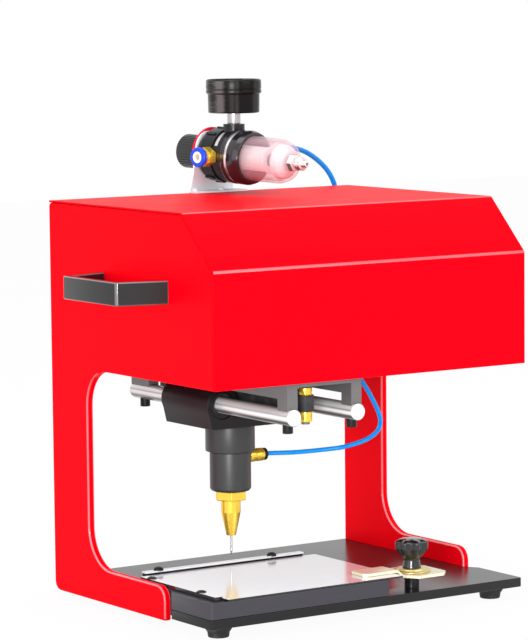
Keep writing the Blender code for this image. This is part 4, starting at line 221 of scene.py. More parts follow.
class Tree:
    """A shader tree that is written as expressions."""

    def __init__(self, tree: bpy.types.NodeTree) -> None:
        """Start from an emptied tree."""
        self.tree = tree
        self.tree.nodes.clear()

    def node(self, kind: str, settings: Optional[dict[str, Any]] = None,
             inputs: Optional[dict[Union[int, str], Any]] = None) -> Node:
        """Add a node.

        Args:
            kind: the node's type.
            settings: the node's own settings, which are set first.
            inputs: a value or a link for each input, by name or place.

        Returns:
            The wrapped node.
        """
        node = self.tree.nodes.new(kind)
        for key, value in (settings or {}).items():
            if key == "stops":
                self._set_stops(node.color_ramp, value)
            else:
                setattr(node, key, value)
        for key, value in (inputs or {}).items():
            self.feed(node.inputs[key], value)
        return Node(self, node)

    def _set_stops(self, ramp: bpy.types.ColorRamp, stops: Stops) -> None:
        """Give a colour ramp its stops."""
        while len(ramp.elements) < len(stops):
            ramp.elements.new(0.5)
        for element, (place, colour) in zip(ramp.elements, stops):
            element.position = place
            element.color = (*colour[:3], 1.0)

    def feed(self, socket: bpy.types.NodeSocket, value: Any) -> None:
        """Set an input, or link it to a value; a colour without alpha is opaque."""
        if isinstance(value, Value):
            self.tree.links.new(value.socket, socket)
        elif isinstance(value, tuple) and len(value) == 3 and len(socket.default_value) == 4:
            socket.default_value = (*value, 1.0)
        else:
            socket.default_value = value

    def seen(self) -> Value:
        """Return 1 where the camera, metal or glass sees a surface, and 0 where it only lights."""
        path = self.node("ShaderNodeLightPath")
        shown = path.out("Is Camera Ray").most(path.out("Is Glossy Ray"))
        return shown.most(path.out("Is Transmission Ray"))


class Shader(Tree):
    """A material that ends in one Principled shader."""

    def __init__(self, name: str) -> None:
        """Start a material of this name."""
        self.material = bpy.data.materials.new(name)
        self.material.use_nodes = True
        super().__init__(self.material.node_tree)
        self.surface = self.node("ShaderNodeBsdfPrincipled")
        self.node("ShaderNodeOutputMaterial", None, {"Surface": self.surface.out(0)})

    def place(self) -> Value:
        """Return the surface's place in the object's own coordinates."""
        return self.node("ShaderNodeTexCoord").out("Object")

    def stretched(self, scale: Point3) -> Value:
        """Return object coordinates scaled along each axis."""
        inputs = {"Vector": self.place(), "Scale": tuple(1.0 / share for share in scale)}
        return self.node("ShaderNodeMapping", {"vector_type": "TEXTURE"}, inputs).out(0)

    def facing(self, axis: Axis) -> Value:
        """Return how far the surface faces along an axis, from -1 to 1."""
        normal = self.node("ShaderNodeNewGeometry").out("Normal")
        return self.node("ShaderNodeSeparateXYZ", None, {0: normal}).out(axis.value)

    def edge(self) -> Value:
        """Return the tone that a refined piece's faces carry: painted highlight above 0, painted
        shade below.
        """
        return self.node("ShaderNodeAttribute", {"attribute_name": EDGE_NAME}).out("Fac")

    def ramp(self, share: Number, stops: Stops) -> Value:
        """Return the colour that a ramp gives at a share."""
        return self.node("ShaderNodeValToRGB", {"stops": stops}, {0: share}).out(0)

    def noise(self, scale: float, detail: float = 3.0, vector: Optional[Value] = None) -> Value:
        """Return noise at a scale per metre."""
        where = vector if vector is not None else self.place()
        inputs = {"Vector": where, "Scale": scale, "Detail": detail}
        return self.node("ShaderNodeTexNoise", None, inputs).out(0)

    def lines(self, scale: Point3, detail: float = 3.0) -> Value:
        """Return noise that is drawn out along the axes of a small scale."""
        return self.noise(1.0, detail, self.stretched(scale))

    def mix(self, share: Number, first: Any, second: Any) -> Value:
        """Return a colour between two colours."""
        inputs = {0: share, 6: first, 7: second}
        return self.node("ShaderNodeMix", {"data_type": "RGBA"}, inputs).out(2)

    def bump(self, height: Value, strength: float, distance: float) -> Value:
        """Return a normal bent by a height."""
        inputs = {"Strength": strength, "Distance": distance, "Height": height}
        return self.node("ShaderNodeBump", None, inputs).out(0)

    def dress(self, **sockets: Any) -> bpy.types.Material:
        """Set the Principled shader's inputs; an underscore stands for a blank in a name."""
        for key, value in sockets.items():
            name = key.replace("_", " ").title().replace("Ior", "IOR")
            self.feed(self.surface.node.inputs[name], value)
        return self.material


def toned(colour: Point3, level: float) -> Point3:
    """Return a colour at a level of its own brightness."""
    red, green, blue = colour
    return (red * level, green * level, blue * level)


@dataclass(frozen=True)
class Finish:
    """A surface finish; its slot in the CAD model is its own name, unless it gives another."""

    name: str
    colour: Point3
    roughness: float = 0.4
    slot: str = ""

    def sockets(self, shader: Shader) -> dict[str, Any]:
        """Return the Principled shader's inputs by name, after adding their nodes."""
        raise NotImplementedError

    def build(self) -> bpy.types.Material:
        """Return the material."""
        shader = Shader(self.name)
        return shader.dress(**self.sockets(shader))


@dataclass(frozen=True)
class Paint(Finish):
    """Baked powder or enamel paint: faint orange peel, cloudy gloss, and painted highlight and
    painted shade along edges.
    """

    peel: float = 0.00003
    peel_scale: float = 420.0
    peel_strength: float = 0.35
    specular: float = 0.2
    coat_roughness: float = 0.08
    cloud: float = 0.06
    cloud_scale: float = 9.0
    gloss_spread: float = 0.08
    # colour and strength of the painted highlight on edges; shade_level sets the painted shade in
    # seams
    edge_colour: Optional[Point3] = None
    edge_share: float = 0.0
    edge_coat: float = 0.9
    shade_level: float = 0.22
    # noise that breaks up the painted highlight along edges
    wear_scale: float = 14.0
    wear_spread: float = 0.9
    wear_least: float = 0.45
    lit_lift: float = 0.75

    def _edged(self, shader: Shader, colour: Value, pale: Point3) -> tuple[Value, Value]:
        """Return the colour and clear coat: painted highlight on upward edges and painted shade in
        seams.
        """
        edge = shader.edge()
        # painted highlight: pale on rounded edges that face up, where light from above falls,
        # broken up by noise
        lit = (shader.facing(Axis.Z) + self.lit_lift).most(0.0).least(1.0)
        highlight_noise = shader.noise(self.wear_scale, 2.0) * self.wear_spread + self.wear_least
        painted_highlight = edge.most(0.0) * lit * highlight_noise
        # painted shade in the seams between parts
        dark = (0.0 - edge).most(0.0).least(1.0)
        colour = shader.mix(dark, colour, toned(self.colour, self.shade_level))
        colour = shader.mix((painted_highlight * self.edge_share).least(1.0), colour, pale)
        return colour, edge.most(0.0) * self.edge_coat

    def sockets(self, shader: Shader) -> dict[str, Any]:
        """Return the inputs."""
        wide = shader.noise(self.cloud_scale, 2.0)
        fine = shader.noise(self.peel_scale, 2.0)
        colour = shader.mix(wide, toned(self.colour, 1 - self.cloud), self.colour)
        coat: Number = 0.0
        if self.edge_colour is not None:
            colour, coat = self._edged(shader, colour, self.edge_colour)
        gloss = self.roughness - self.gloss_spread / 2
        return dict(base_color=colour, roughness=wide * self.gloss_spread + gloss,
                    normal=shader.bump(fine, self.peel_strength, self.peel), coat_weight=coat,
                    coat_roughness=self.coat_roughness, specular_ior_level=self.specular)


@dataclass(frozen=True)
class Metal(Finish):
    """Bare, plated or anodised metal with fine tool lines along or around an axis."""

    metallic: float = 1.0
    grain: Point3 = (6.0, 900.0, 900.0)
    grain_share: float = 0.6
    grain_strength: float = 0.5
    depth: float = 0.000004
    stain: float = 0.08
    stain_scale: float = 35.0
    line_spread: float = 0.16
    cloud_spread: float = 0.05
    specular: float = 0.5

    def sockets(self, shader: Shader) -> dict[str, Any]:
        """Return the inputs."""
        lines = shader.lines(self.grain, 4.0)
        cloud = shader.noise(self.stain_scale)
        share = lines * self.grain_share + cloud * (1 - self.grain_share)
        gloss = (lines - 0.5) * self.line_spread + cloud * self.cloud_spread
        return dict(
            base_color=shader.mix(share, toned(self.colour, 1 - self.stain * 2), self.colour),
            roughness=gloss + self.roughness, metallic=self.metallic,
            specular_ior_level=self.specular,
            normal=shader.bump(lines, self.grain_strength, self.depth))


@dataclass(frozen=True)
class Ground(Finish):
    """Ground and plated bar, or a glossy case: bands of painted reflection lie along it by the way
    its surface faces.
    """

    metallic: float = 0.35
    axis: Axis = Axis.Z
    specular: float = 0.4
    grain: Point3 = (600.0, 12.0, 600.0)
    grain_strength: float = 0.3
    depth: float = 0.000001
    # the painted reflection's bands, by how far the surface faces along the axis
    band_shift: float = 0.05
    line_spread: float = 0.08
    bands: tuple[Point2, ...] = ((0.0, 0.05), (0.09, 0.55), (0.17, 0.10), (0.28, 0.16),
                                 (0.40, 0.78), (0.52, 0.94), (0.62, 0.42), (0.72, 0.92),
                                 (0.88, 0.85), (1.0, 0.20))

    def sockets(self, shader: Shader) -> dict[str, Any]:
        """Return the inputs."""
        lines = shader.lines(self.grain)
        rise = shader.facing(self.axis) * 0.5 + 0.5 + (lines - 0.5) * self.band_shift
        stops = [(place, toned(self.colour, level)) for place, level in self.bands]
        return dict(
            base_color=shader.ramp(rise, stops),
            roughness=lines * self.line_spread + self.roughness, metallic=self.metallic,
            specular_ior_level=self.specular,
            normal=shader.bump(lines, self.grain_strength, self.depth))


@dataclass(frozen=True)
class Sheet(Finish):
    """Polished pale sheet whose faces that don't look up are darker: a painted shadow along its
    edges.
    """

    # the colour of the faces that don't look up: painted shade
    edge: Point3 = (0.012, 0.012, 0.013)
    metallic: float = 0.25
    specular: float = 0.7
    grain: Point3 = (4.0, 700.0, 700.0)
    grain_strength: float = 0.3
    depth: float = 0.0000006
    dull_level: float = 0.93
    cloud_scale: float = 24.0
    cloud_spread: float = 0.05
    line_spread: float = 0.04
    face_from: float = 0.6

    def sockets(self, shader: Shader) -> dict[str, Any]:
        """Return the inputs."""
        lines = shader.lines(self.grain, 4.0)
        cloud = shader.noise(self.cloud_scale)
        dull = toned(self.colour, self.dull_level)
        face = shader.mix(lines * 0.5 + cloud * 0.5, dull, self.colour)
        flat = shader.facing(Axis.Z).above(self.face_from)
        gloss = cloud * self.cloud_spread + lines * self.line_spread
        return dict(
            base_color=shader.mix(flat, self.edge, face), metallic=flat * self.metallic,
            roughness=gloss + self.roughness, specular_ior_level=self.specular,
            normal=shader.bump(lines, self.grain_strength, self.depth))


@dataclass(frozen=True)
class Plastic(Finish):
    """Moulded plastic with spark-eroded grain and a slight sheen on its high spots."""

    grain_scale: float = 1500.0
    grain_strength: float = 0.3
    grain_depth: float = 0.00002
    coat: float = 0.0
    coat_roughness: float = 0.1
    specular: float = 0.45
    cloud_scale: float = 60.0
    pale_level: float = 1.25
    pale_lift: float = 0.004
    gloss_spread: float = 0.12

    def sockets(self, shader: Shader) -> dict[str, Any]:
        """Return the inputs."""
        inputs = {"Vector": shader.place(), "Scale": self.grain_scale}
        grain = shader.node("ShaderNodeTexVoronoi", {"feature": "F1"}, inputs).out("Distance")
        cloud = shader.noise(self.cloud_scale)
        pale = tuple(min(1.0, part * self.pale_level + self.pale_lift) for part in self.colour)
        gloss = self.roughness - self.gloss_spread / 2
        return dict(
            base_color=shader.mix(cloud, self.colour, pale),
            roughness=cloud * self.gloss_spread + gloss,
            normal=shader.bump(grain, self.grain_strength, self.grain_depth),
            coat_weight=self.coat, coat_roughness=self.coat_roughness,
            specular_ior_level=self.specular)


@dataclass(frozen=True)
class Rubber(Finish):
    """Matt rubber with dust in its pores."""

    dust: Point3 = (0.09, 0.088, 0.084)
    dust_scale: float = 90.0
    dust_from: float = 0.45
    dust_gain: float = 2.2
    dust_spread: float = 0.1
    pore_scale: float = 1400.0
    pore_strength: float = 0.5
    pore_depth: float = 0.00004
    specular: float = 0.35

    def sockets(self, shader: Shader) -> dict[str, Any]:
        """Return the inputs."""
        pores = shader.noise(self.pore_scale)
        dust = (shader.noise(self.dust_scale, 4.0) - self.dust_from).most(0.0) * self.dust_gain
        return dict(
            base_color=shader.mix(dust.least(1.0), self.colour, self.dust),
            roughness=dust * self.dust_spread + self.roughness,
            normal=shader.bump(pores, self.pore_strength, self.pore_depth),
            specular_ior_level=self.specular)


@dataclass(frozen=True)
class Clear(Finish):
    """Clear moulded plastic or glass that shows what lies behind it."""

    opacity: float = 0.35
    haze: float = 0.15
    rim: float = 0.2
    rim_blend: float = 0.4
    rim_power: float = 2.0
    streaks: Point3 = (30.0, 30.0, 220.0)
    streak_strength: float = 0.2
    streak_depth: float = 0.00003
    deep_level: float = 0.72
    line_spread: float = 0.06
    specular: float = 0.6

    def sockets(self, shader: Shader) -> dict[str, Any]:
        """Return the inputs."""
        streaks = shader.lines(self.streaks)
        slant = shader.node("ShaderNodeLayerWeight", None, {"Blend": self.rim_blend}).out("Facing")
        body = (streaks - 0.5) * self.haze + self.opacity
        deep = toned(self.colour, self.deep_level)
        return dict(
            base_color=shader.mix(streaks, deep, self.colour),
            roughness=streaks * self.line_spread + self.roughness,
            alpha=body + slant ** self.rim_power * self.rim,
            normal=shader.bump(streaks, self.streak_strength, self.streak_depth),
            specular_ior_level=self.specular)


class Finishes:
    """Every finish of the machine, built once."""

    TABLE: tuple[Finish, ...] = (
        # red paint with a painted highlight on its edges and bends
        Paint("red_paint", (0.93, 0.0, 0.006), 0.40, specular=0.02, cloud=0.03,
              edge_colour=(1.0, 0.30, 0.34), edge_share=0.70),
        Paint("base_gloss", (0.012, 0.012, 0.013), 0.23, "black_paint", peel=0.00002,
              specular=0.28),
        # handle paint with a painted highlight on its rounded edges
        Paint("black_handle", (0.012, 0.012, 0.013), 0.28, peel=0.00004,
              specular=0.45, edge_colour=(0.20, 0.20, 0.21), edge_share=0.8),
        Rubber("rubber", (0.012, 0.012, 0.013), 0.62),
        Metal("table_grey", (0.050, 0.047, 0.058), 0.30, metallic=0.3, stain=0.05),
        # pale sheets whose side faces are painted shade
        Sheet("bright_sheet", (0.90, 0.90, 0.925), 0.09),
        Sheet("stop_bar", (0.86, 0.86, 0.88), 0.16, "black_paint", edge=(0.70, 0.70, 0.74)),
        Metal("label_silver", (0.70, 0.66, 0.67), 0.35, "black_plastic", metallic=0.5),
        Metal("motor_stack", (0.30, 0.30, 0.31), 0.42, "motor_black", grain=(12.0, 12.0, 1800.0)),
        Plastic("collar_smoke", (0.014, 0.010, 0.013), 0.18, "black_plastic", coat=0.6,
                specular=0.3),
        Plastic("black_plastic", (0.007, 0.007, 0.009), 0.30, specular=0.3),
        Plastic("knob_black", (0.006, 0.006, 0.007), 0.24, "black_plastic", coat=0.7, specular=0.3),
        # black gauge case with painted highlight streaks
        Ground("gauge_black", WHITE, 0.22, metallic=0.0, axis=Axis.X, specular=0.15,
               bands=((0.0, 0.010), (0.03, 0.11), (0.07, 0.10), (0.11, 0.004), (0.24, 0.003),
                      (0.28, 0.030), (0.33, 0.004), (0.60, 0.003), (0.66, 0.022), (0.74, 0.004),
                      (1.0, 0.006))),
        Paint("motor_black", (0.018, 0.018, 0.020), 0.38, peel=0.00006),
        Metal("carriage_black", (0.009, 0.006, 0.008), 0.30, metallic=0.1,
              specular=0.3, grain=(900.0, 20.0, 900.0), stain=0.1),
        Metal("cream_plate", (0.93, 0.84, 0.62), 0.32, metallic=0.35, stain=0.04),
        Metal("washer_zinc", (0.74, 0.60, 0.24), 0.30, "cream_plate", metallic=0.7),
        # chrome with bands of painted reflection
        Ground("chrome", (0.96, 0.965, 0.96), 0.16),
        Metal("steel", (0.56, 0.56, 0.58), 0.27, metallic=0.85),
        Metal("screw_black", (0.010, 0.010, 0.011), 0.40, "black_plastic", metallic=0.2,
              specular=0.3),
        Metal("channel_grey", (0.155, 0.148, 0.152), 0.38, metallic=0.25,
              grain=(900.0, 10.0, 900.0), stain=0.05),
        Metal("stylus_grey", (0.050, 0.050, 0.051), 0.36, metallic=0.25,
              specular=0.4, grain=(20.0, 20.0, 2600.0)),
        Metal("brass", (1.0, 0.68, 0.08), 0.22, metallic=0.7, stain=0.04,
              grain=(12.0, 12.0, 1600.0), depth=0.000001),
        Rubber("belt_rubber", (0.022, 0.022, 0.024), 0.55),
        Plastic("blue_hose", (0.0, 0.25, 0.78), 0.26, grain_scale=700.0,
                grain_depth=0.000008, specular=0.25),
        Plastic("blue_plastic", (0.01, 0.06, 0.66), 0.25, specular=0.3),
        Plastic("red_plastic", (0.78, 0.004, 0.03), 0.26, specular=0.2),
        Plastic("cream_plastic", (0.86, 0.83, 0.70), 0.4, "white_plastic"),
        Plastic("white_plastic", (0.84, 0.83, 0.83), 0.42),
        Plastic("dial_white", (0.86, 0.86, 0.84), 0.5, "white_plastic", grain_depth=0.0),
        Clear("clear_bowl", (0.90, 0.60, 0.66), 0.06, opacity=0.16, haze=0.10, rim=0.55),
        Clear("clear_lens", (0.97, 0.98, 1.0), 0.04, opacity=0.16, haze=0.02),
        Metal("bracket_white", (0.84, 0.90, 0.94), 0.36, metallic=0.0, stain=0.02, specular=0.3),
    )

    def __init__(self) -> None:
        """Build each material of the table."""
        self.materials = {finish.name: finish.build() for finish in self.TABLE}
        self.slots = {finish.name: finish.slot or finish.name for finish in self.TABLE}
        self.repeaters = {kind: Repeater(kind) for kind in Instance}

    def dress(self, piece: bpy.types.Object, name: str) -> bpy.types.Object:
        """Give a piece one finish over all its surface."""
        piece.data.materials.clear()
        piece.data.materials.append(self.materials[name])
        return piece


@dataclass(frozen=True)
class Facet:
    """One face of a refined piece, with its direction's share of the piece's area."""

    centre: Vector
    normal: Vector
    rounding: bool
    share: float

    def small(self) -> float:
        """Return 1 on rounded edges and small bends, where a finish that has one puts its painted
        highlight.
        """
        return float(self.share < EDGE_AREA_SHARE)


class Form:
    """Mesh making that all sub-assemblies share."""

    @staticmethod
    def smooth(data: bpy.types.Mesh) -> None:
        """Shade a mesh smooth, apart from its sharp edges."""
        data.shade_smooth()
        data.set_sharp_from_angle(angle=SMOOTH_ANGLE)

    @staticmethod
    def place(name: str, shape: bmesh.types.BMesh) -> bpy.types.Object:
        """Turn a drawn shape into an object at the origin."""
        bmesh.ops.remove_doubles(shape, verts=shape.verts, dist=DRAWN_MERGE)
        bmesh.ops.recalc_face_normals(shape, faces=shape.faces)
        data = bpy.data.meshes.new(name)
        shape.to_mesh(data)
        shape.free()
        Form.smooth(data)
        return in_scene(name, data)

    @staticmethod
    def settle(piece: bpy.types.Object) -> bpy.types.Object:
        """Replace a piece's mesh by its evaluated one; a curve or text becomes a mesh."""
        graph = bpy.context.evaluated_depsgraph_get()
        data = bpy.data.meshes.new_from_object(piece.evaluated_get(graph))
        if piece.type != "MESH":
            name = piece.name
            bpy.data.objects.remove(piece)
            return in_scene(name, data)
        piece.modifiers.clear()
        piece.data = data
        return piece

    @staticmethod
    def soften(piece: bpy.types.Object, width: float, steps: int = 2) -> bpy.types.Object:
        """Round a piece's sharp edges; where it has two slots, the second marks the rounding."""
        bevel = piece.modifiers.new("edges", "BEVEL")
        bevel.width = width
        bevel.segments = steps
        bevel.limit_method = "ANGLE"
        bevel.angle_limit = SMOOTH_ANGLE
        bevel.harden_normals = True
        if len(piece.data.materials) > 1:
            bevel.material = 1
        return Form.settle(piece)

    @staticmethod
    def refined(node: str, width: float, steps: int, mark: Tone) -> bpy.types.Object:
        """Return a copy of a CAD node with joined facets and rounded edges.

        Args:
            node: the CAD node's name.
            width: how far the edges are rounded.
            steps: the facets of each rounded edge.
            mark: tells how strong a face's painted highlight (above 0) or painted shade (below 0)
                is.

        Returns:
            The new piece.
        """
        shape = bmesh.new()
        shape.from_mesh(bpy.data.objects[node].data)
        bmesh.ops.remove_doubles(shape, verts=shape.verts, dist=COPIED_MERGE)
        bmesh.ops.dissolve_limit(shape, angle_limit=FLAT_ANGLE, verts=shape.verts,
                                 edges=shape.edges)
        piece = Form.place(f"{node}_skin", shape)
        if width:
            piece.data.materials.append(None)
            piece.data.materials.append(None)
            piece = Form.soften(piece, width, steps)
        return Form.mark_edges(piece, mark)

    @staticmethod
    def mark_edges(piece: bpy.types.Object, mark: Tone) -> bpy.types.Object:
        """Write a piece's face attribute that sets the painted highlight or painted shade along
        edges.
        """
        groups: dict[tuple[float, ...], float] = {}
        keys = [tuple(round(part, 1) for part in face.normal) for face in piece.data.polygons]
        for key, face in zip(keys, piece.data.polygons):
            groups[key] = groups.get(key, 0.0) + face.area
        total = sum(groups.values())
        values = [mark(Facet(face.center - MACHINE, face.normal, face.material_index == 1,
                             groups[key] / total))
                  for key, face in zip(keys, piece.data.polygons)]
        marks = piece.data.attributes.new(EDGE_NAME, "FLOAT", "FACE")
        marks.data.foreach_set("value", values)
        return piece

    @staticmethod
    def rounded(points: Profile, closed: bool) -> list[Point2]:
        """Replace each corner (a, b, radius) by an arc; a corner without a radius stays sharp."""
        outline: list[Point2] = []
        last = len(points) - 1
        for index, point in enumerate(points):
            a, b = point[:2]
            radius = point[2] if len(point) > 2 else 0.0
            if radius == 0 or (not closed and index in (0, last)):
                outline.append((a, b))
                continue
            corner = Vector((a, b))
            before = (Vector(points[index - 1][:2]) - corner).normalized()
            after = (Vector(points[(index + 1) % len(points)][:2]) - corner).normalized()
            half = before.angle(after) / 2
            centre = corner + (before + after).normalized() * (radius / math.sin(half))
            start = corner + before * (radius / math.tan(half)) - centre
            end = corner + after * (radius / math.tan(half)) - centre
            sweep = math.copysign(math.pi - 2 * half, start.cross(end))
            steps = max(3, math.ceil(abs(sweep) * radius / ARC_CHORD))
            for step in range(steps + 1):
                spot = centre + Matrix.Rotation(sweep * step / steps, 2) @ start
                outline.append((spot.x, spot.y))
        return outline

    @staticmethod
    def loops(rings: Sequence[Sequence[Vector]], closed: bool) -> bmesh.types.BMesh:
        """Skin loops of equal length; an open stack is filled at both ends."""
        shape = bmesh.new()
        made = [[shape.verts.new(point) for point in ring] for ring in rings]
        spans = list(zip(made, made[1:]))
        if closed:
            spans.append((made[-1], made[0]))
        else:
            shape.faces.new(made[0][::-1])
            shape.faces.new(made[-1])
        for low, high in spans:
            for index, corner in enumerate(low):
                following = (index + 1) % len(low)
                shape.faces.new((corner, low[following], high[following], high[index]))
        return shape

    @staticmethod
    def lathe(name: str, profile: Profile, frame: Matrix, steps: int = 72, closed: bool = False,
              reach: Optional[Reach] = None) -> bpy.types.Object:
        """Turn a profile of (radius, along, corner radius) round a frame's Z.

        Args:
            name: the new piece's name.
            profile: the profile's corners; a closed one leaves a bore.
            frame: the frame that the profile is turned in.
            steps: the facets round the axis.
            closed: whether the profile closes on itself.
            reach: an extra distance from the axis, by angle and place along it.

        Returns:
            The new piece.
        """
        rings = []
        for radius, along in Form.rounded(profile, closed):
            ring = []
            for step in range(steps):
                angle = math.tau * step / steps
                size = radius + (reach(angle, along) if reach is not None else 0.0)
                spot = Vector((size * math.cos(angle), size * math.sin(angle), along))
                ring.append(frame @ spot)
            rings.append(ring)
        return Form.place(name, Form.loops(rings, closed))

    @staticmethod
    def prism(name: str, outline: Profile, frame: Matrix, low: float, high: float,
              edge: float) -> bpy.types.Object:
        """Extrude an outline of (a, b, corner radius) along a frame's Z and round its edges."""
        flat = Form.rounded(outline, True)
        rings = [[frame @ Vector((a, b, end)) for a, b in flat] for end in (low, high)]
        return Form.soften(Form.place(name, Form.loops(rings, False)), edge)

    @staticmethod
    def joined(name: str, pieces: Sequence[bpy.types.Object]) -> bpy.types.Object:
        """Join pieces into one mesh, each keeping its own material."""
        shape = bmesh.new()
        materials: list[bpy.types.Material] = []
        for piece in pieces:
            part = piece.data
            offset = len(materials)
            materials.extend(part.materials)
            first = len(shape.faces)
            shape.from_mesh(part)
            shape.faces.ensure_lookup_table()
            for face in shape.faces[first:]:
                face.material_index += offset
        data = bpy.data.meshes.new(name)
        shape.to_mesh(data)
        shape.free()
        for material in materials:
            data.materials.append(material)
        for piece in pieces:
            bpy.data.objects.remove(piece)
        return in_scene(name, data)


class Instance(Enum):
    """The small shape that a Geometry Nodes tree repeats."""

    BLOCK = "GeometryNodeMeshCube"
    BUTTON = "GeometryNodeMeshCylinder"


class Repeater:
    """Repeats a block or a button over points, each turned by its own angle, by Geometry Nodes."""

    def __init__(self, kind: Instance) -> None:
        """Build the tree for one kind of shape."""
        self.kind = kind
        self.tree = bpy.data.node_groups.new(f"repeat_{kind.name.lower()}", "GeometryNodeTree")
        sockets = (("Points", "Geometry"), ("Size", "Vector"), ("Radius", "Float"),
                   ("Height", "Float"), ("Sides", "Int"), ("Material", "Material"))
        self.sockets = {name: self._socket(name, "INPUT", form) for name, form in sockets}
        self._socket("Pieces", "OUTPUT", "Geometry")
        self._wire()

    def _socket(self, name: str, side: str, form: str) -> str:
        """Add a socket to the tree's interface and return its identifier."""
        socket = self.tree.interface.new_socket(name, in_out=side, socket_type=f"NodeSocket{form}")
        return socket.identifier

    def _node(self, kind: str, links: Optional[dict[Union[int, str], Any]] = None) -> Any:
        """Add a node and link its inputs to other nodes' outputs."""
        node = self.tree.nodes.new(kind)
        for key, source in (links or {}).items():
            self.tree.links.new(source, node.inputs[key])
        return node

    def _wire(self) -> None:
        """Join the tree's nodes."""
        given = self._node("NodeGroupInput").outputs
        block = {"Size": given["Size"]}
        button = {"Radius": given["Radius"], "Depth": given["Height"], "Vertices": given["Sides"]}
        shape = self._node(self.kind.value, block if self.kind is Instance.BLOCK else button)
        angle = self._node("GeometryNodeInputNamedAttribute")
        angle.data_type = "FLOAT"
        angle.inputs["Name"].default_value = "turn"
        turn = self._node("ShaderNodeCombineXYZ", {"Z": angle.outputs["Attribute"]})
        spread = self._node("GeometryNodeInstanceOnPoints",
                            {"Points": given["Points"], "Instance": shape.outputs["Mesh"],
                             "Rotation": turn.outputs[0]})
        real = self._node("GeometryNodeRealizeInstances", {0: spread.outputs[0]})
        dress = self._node("GeometryNodeSetMaterial",
                           {"Geometry": real.outputs[0], "Material": given["Material"]})
        self._node("NodeGroupOutput", {0: dress.outputs[0]})

    def place(self, name: str, spots: Spots, frame: Matrix, material: bpy.types.Material,
              **sizes: Any) -> bpy.types.Object:
        """Repeat the shape at spots of (place, angle about Z) in a frame.

        Args:
            name: the new piece's name.
            spots: the places and angles in the frame.
            frame: the frame that they are given in.
            material: the finish that the tree sets.
            sizes: the tree's sizes by name: Size, or Radius, Height and Sides.

        Returns:
            The settled piece.
        """
        data = bpy.data.meshes.new(name)
        data.from_pydata([spot for spot, _ in spots], [], [])
        turns = data.attributes.new("turn", "FLOAT", "POINT")
        turns.data.foreach_set("value", [angle for _, angle in spots])
        piece = in_scene(name, data)
        modifier = piece.modifiers.new("repeat", "NODES")
        modifier.node_group = self.tree
        for key, value in {**sizes, "Material": material}.items():
            modifier[self.sockets[key]] = value
        piece = Form.settle(piece)
        piece.data.transform(frame)
        Form.smooth(piece.data)
        return piece


@dataclass(frozen=True)
class Turned:
    """A turned piece: its profile, its finish and the CAD node and body that it belongs to."""

    name: str
    profile: Profile
    finish: str
    node: str = ""
    body: str = ""
    steps: int = 72
    closed: bool = False
    reach: Optional[Reach] = None


@dataclass(frozen=True)
class Ring:
    """Equal blocks in a ring round an axis, with the finish and body that they have."""

    name: str
    count: int
    radius: float
    along: float
    size: Point3
    finish: str
    body: str = ""
    start: float = 0.0


@dataclass
class Assembly:
    """A sub-assembly of the machine; its pieces ride on BODY, unless they name another body."""

    BODY: ClassVar[str] = "frame"

    finishes: Finishes

    def fit(self, piece: bpy.types.Object, finish: str, node: str = "",
            body: str = "") -> bpy.types.Object:
        """Dress a piece, hide the CAD node that it stands for, and let it ride on a body.

        Args:
            piece: the finished piece.
            finish: its finish, or an empty name where it is already dressed.
            node: the CAD node that it stands for, if there is one.
            body: the CAD body that carries it, where that isn't BODY.

        Returns:
            The piece.
        """
        if finish:
            self.finishes.dress(piece, finish)
        if node:
            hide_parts(node)
        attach(piece, body or self.BODY)
        LOG.info("%s rides on %s", piece.name, body or self.BODY)
        return piece

    def refine(self, node: str, finish: str, width: float, steps: int = 2,
               mark: Tone = Facet.small, body: str = "") -> bpy.types.Object:
        """Fit a copy of a CAD node that has joined facets and rounded edges."""
        return self.fit(Form.refined(node, width, steps, mark), finish, node, body)

    def turn(self, frame: Matrix, *pieces: Turned) -> None:
        """Fit turned pieces whose profiles are drawn in one frame."""
        for piece in pieces:
            made = Form.lathe(piece.name, piece.profile, frame, piece.steps, piece.closed,
                              piece.reach)
            self.fit(made, piece.finish, piece.node, piece.body)

    def repeat(self, kind: Instance, name: str, spots: Spots, frame: Matrix, finish: str,
               body: str = "", **sizes: Any) -> None:
        """Fit a block or button that Geometry Nodes repeat at spots of a frame."""
        repeater, material = self.finishes.repeaters[kind], self.finishes.materials[finish]
        piece = repeater.place(name, spots, frame, material, **sizes)
        self.fit(piece, finish, body=body)

    def ring(self, frame: Matrix, ring: Ring) -> None:
        """Fit a ring of blocks that stand round a frame's Z."""
        spots = ring_of_spots(ring.count, ring.radius, ring.along, ring.start)
        self.repeat(Instance.BLOCK, ring.name, spots, frame, ring.finish, ring.body,
                    Size=ring.size)

    def build(self) -> None:
        """Build every piece of the sub-assembly."""
        raise NotImplementedError


def ring_of_spots(count: int, radius: float, height: float,
                  start: float = 0.0) -> list[tuple[Point3, float]]:
    """Return even spots round a circle from an angle on, each turned to face outwards."""
    angles = [start + math.tau * index / count for index in range(count)]
    return [((radius * math.cos(angle), radius * math.sin(angle), height), angle)
            for angle in angles]


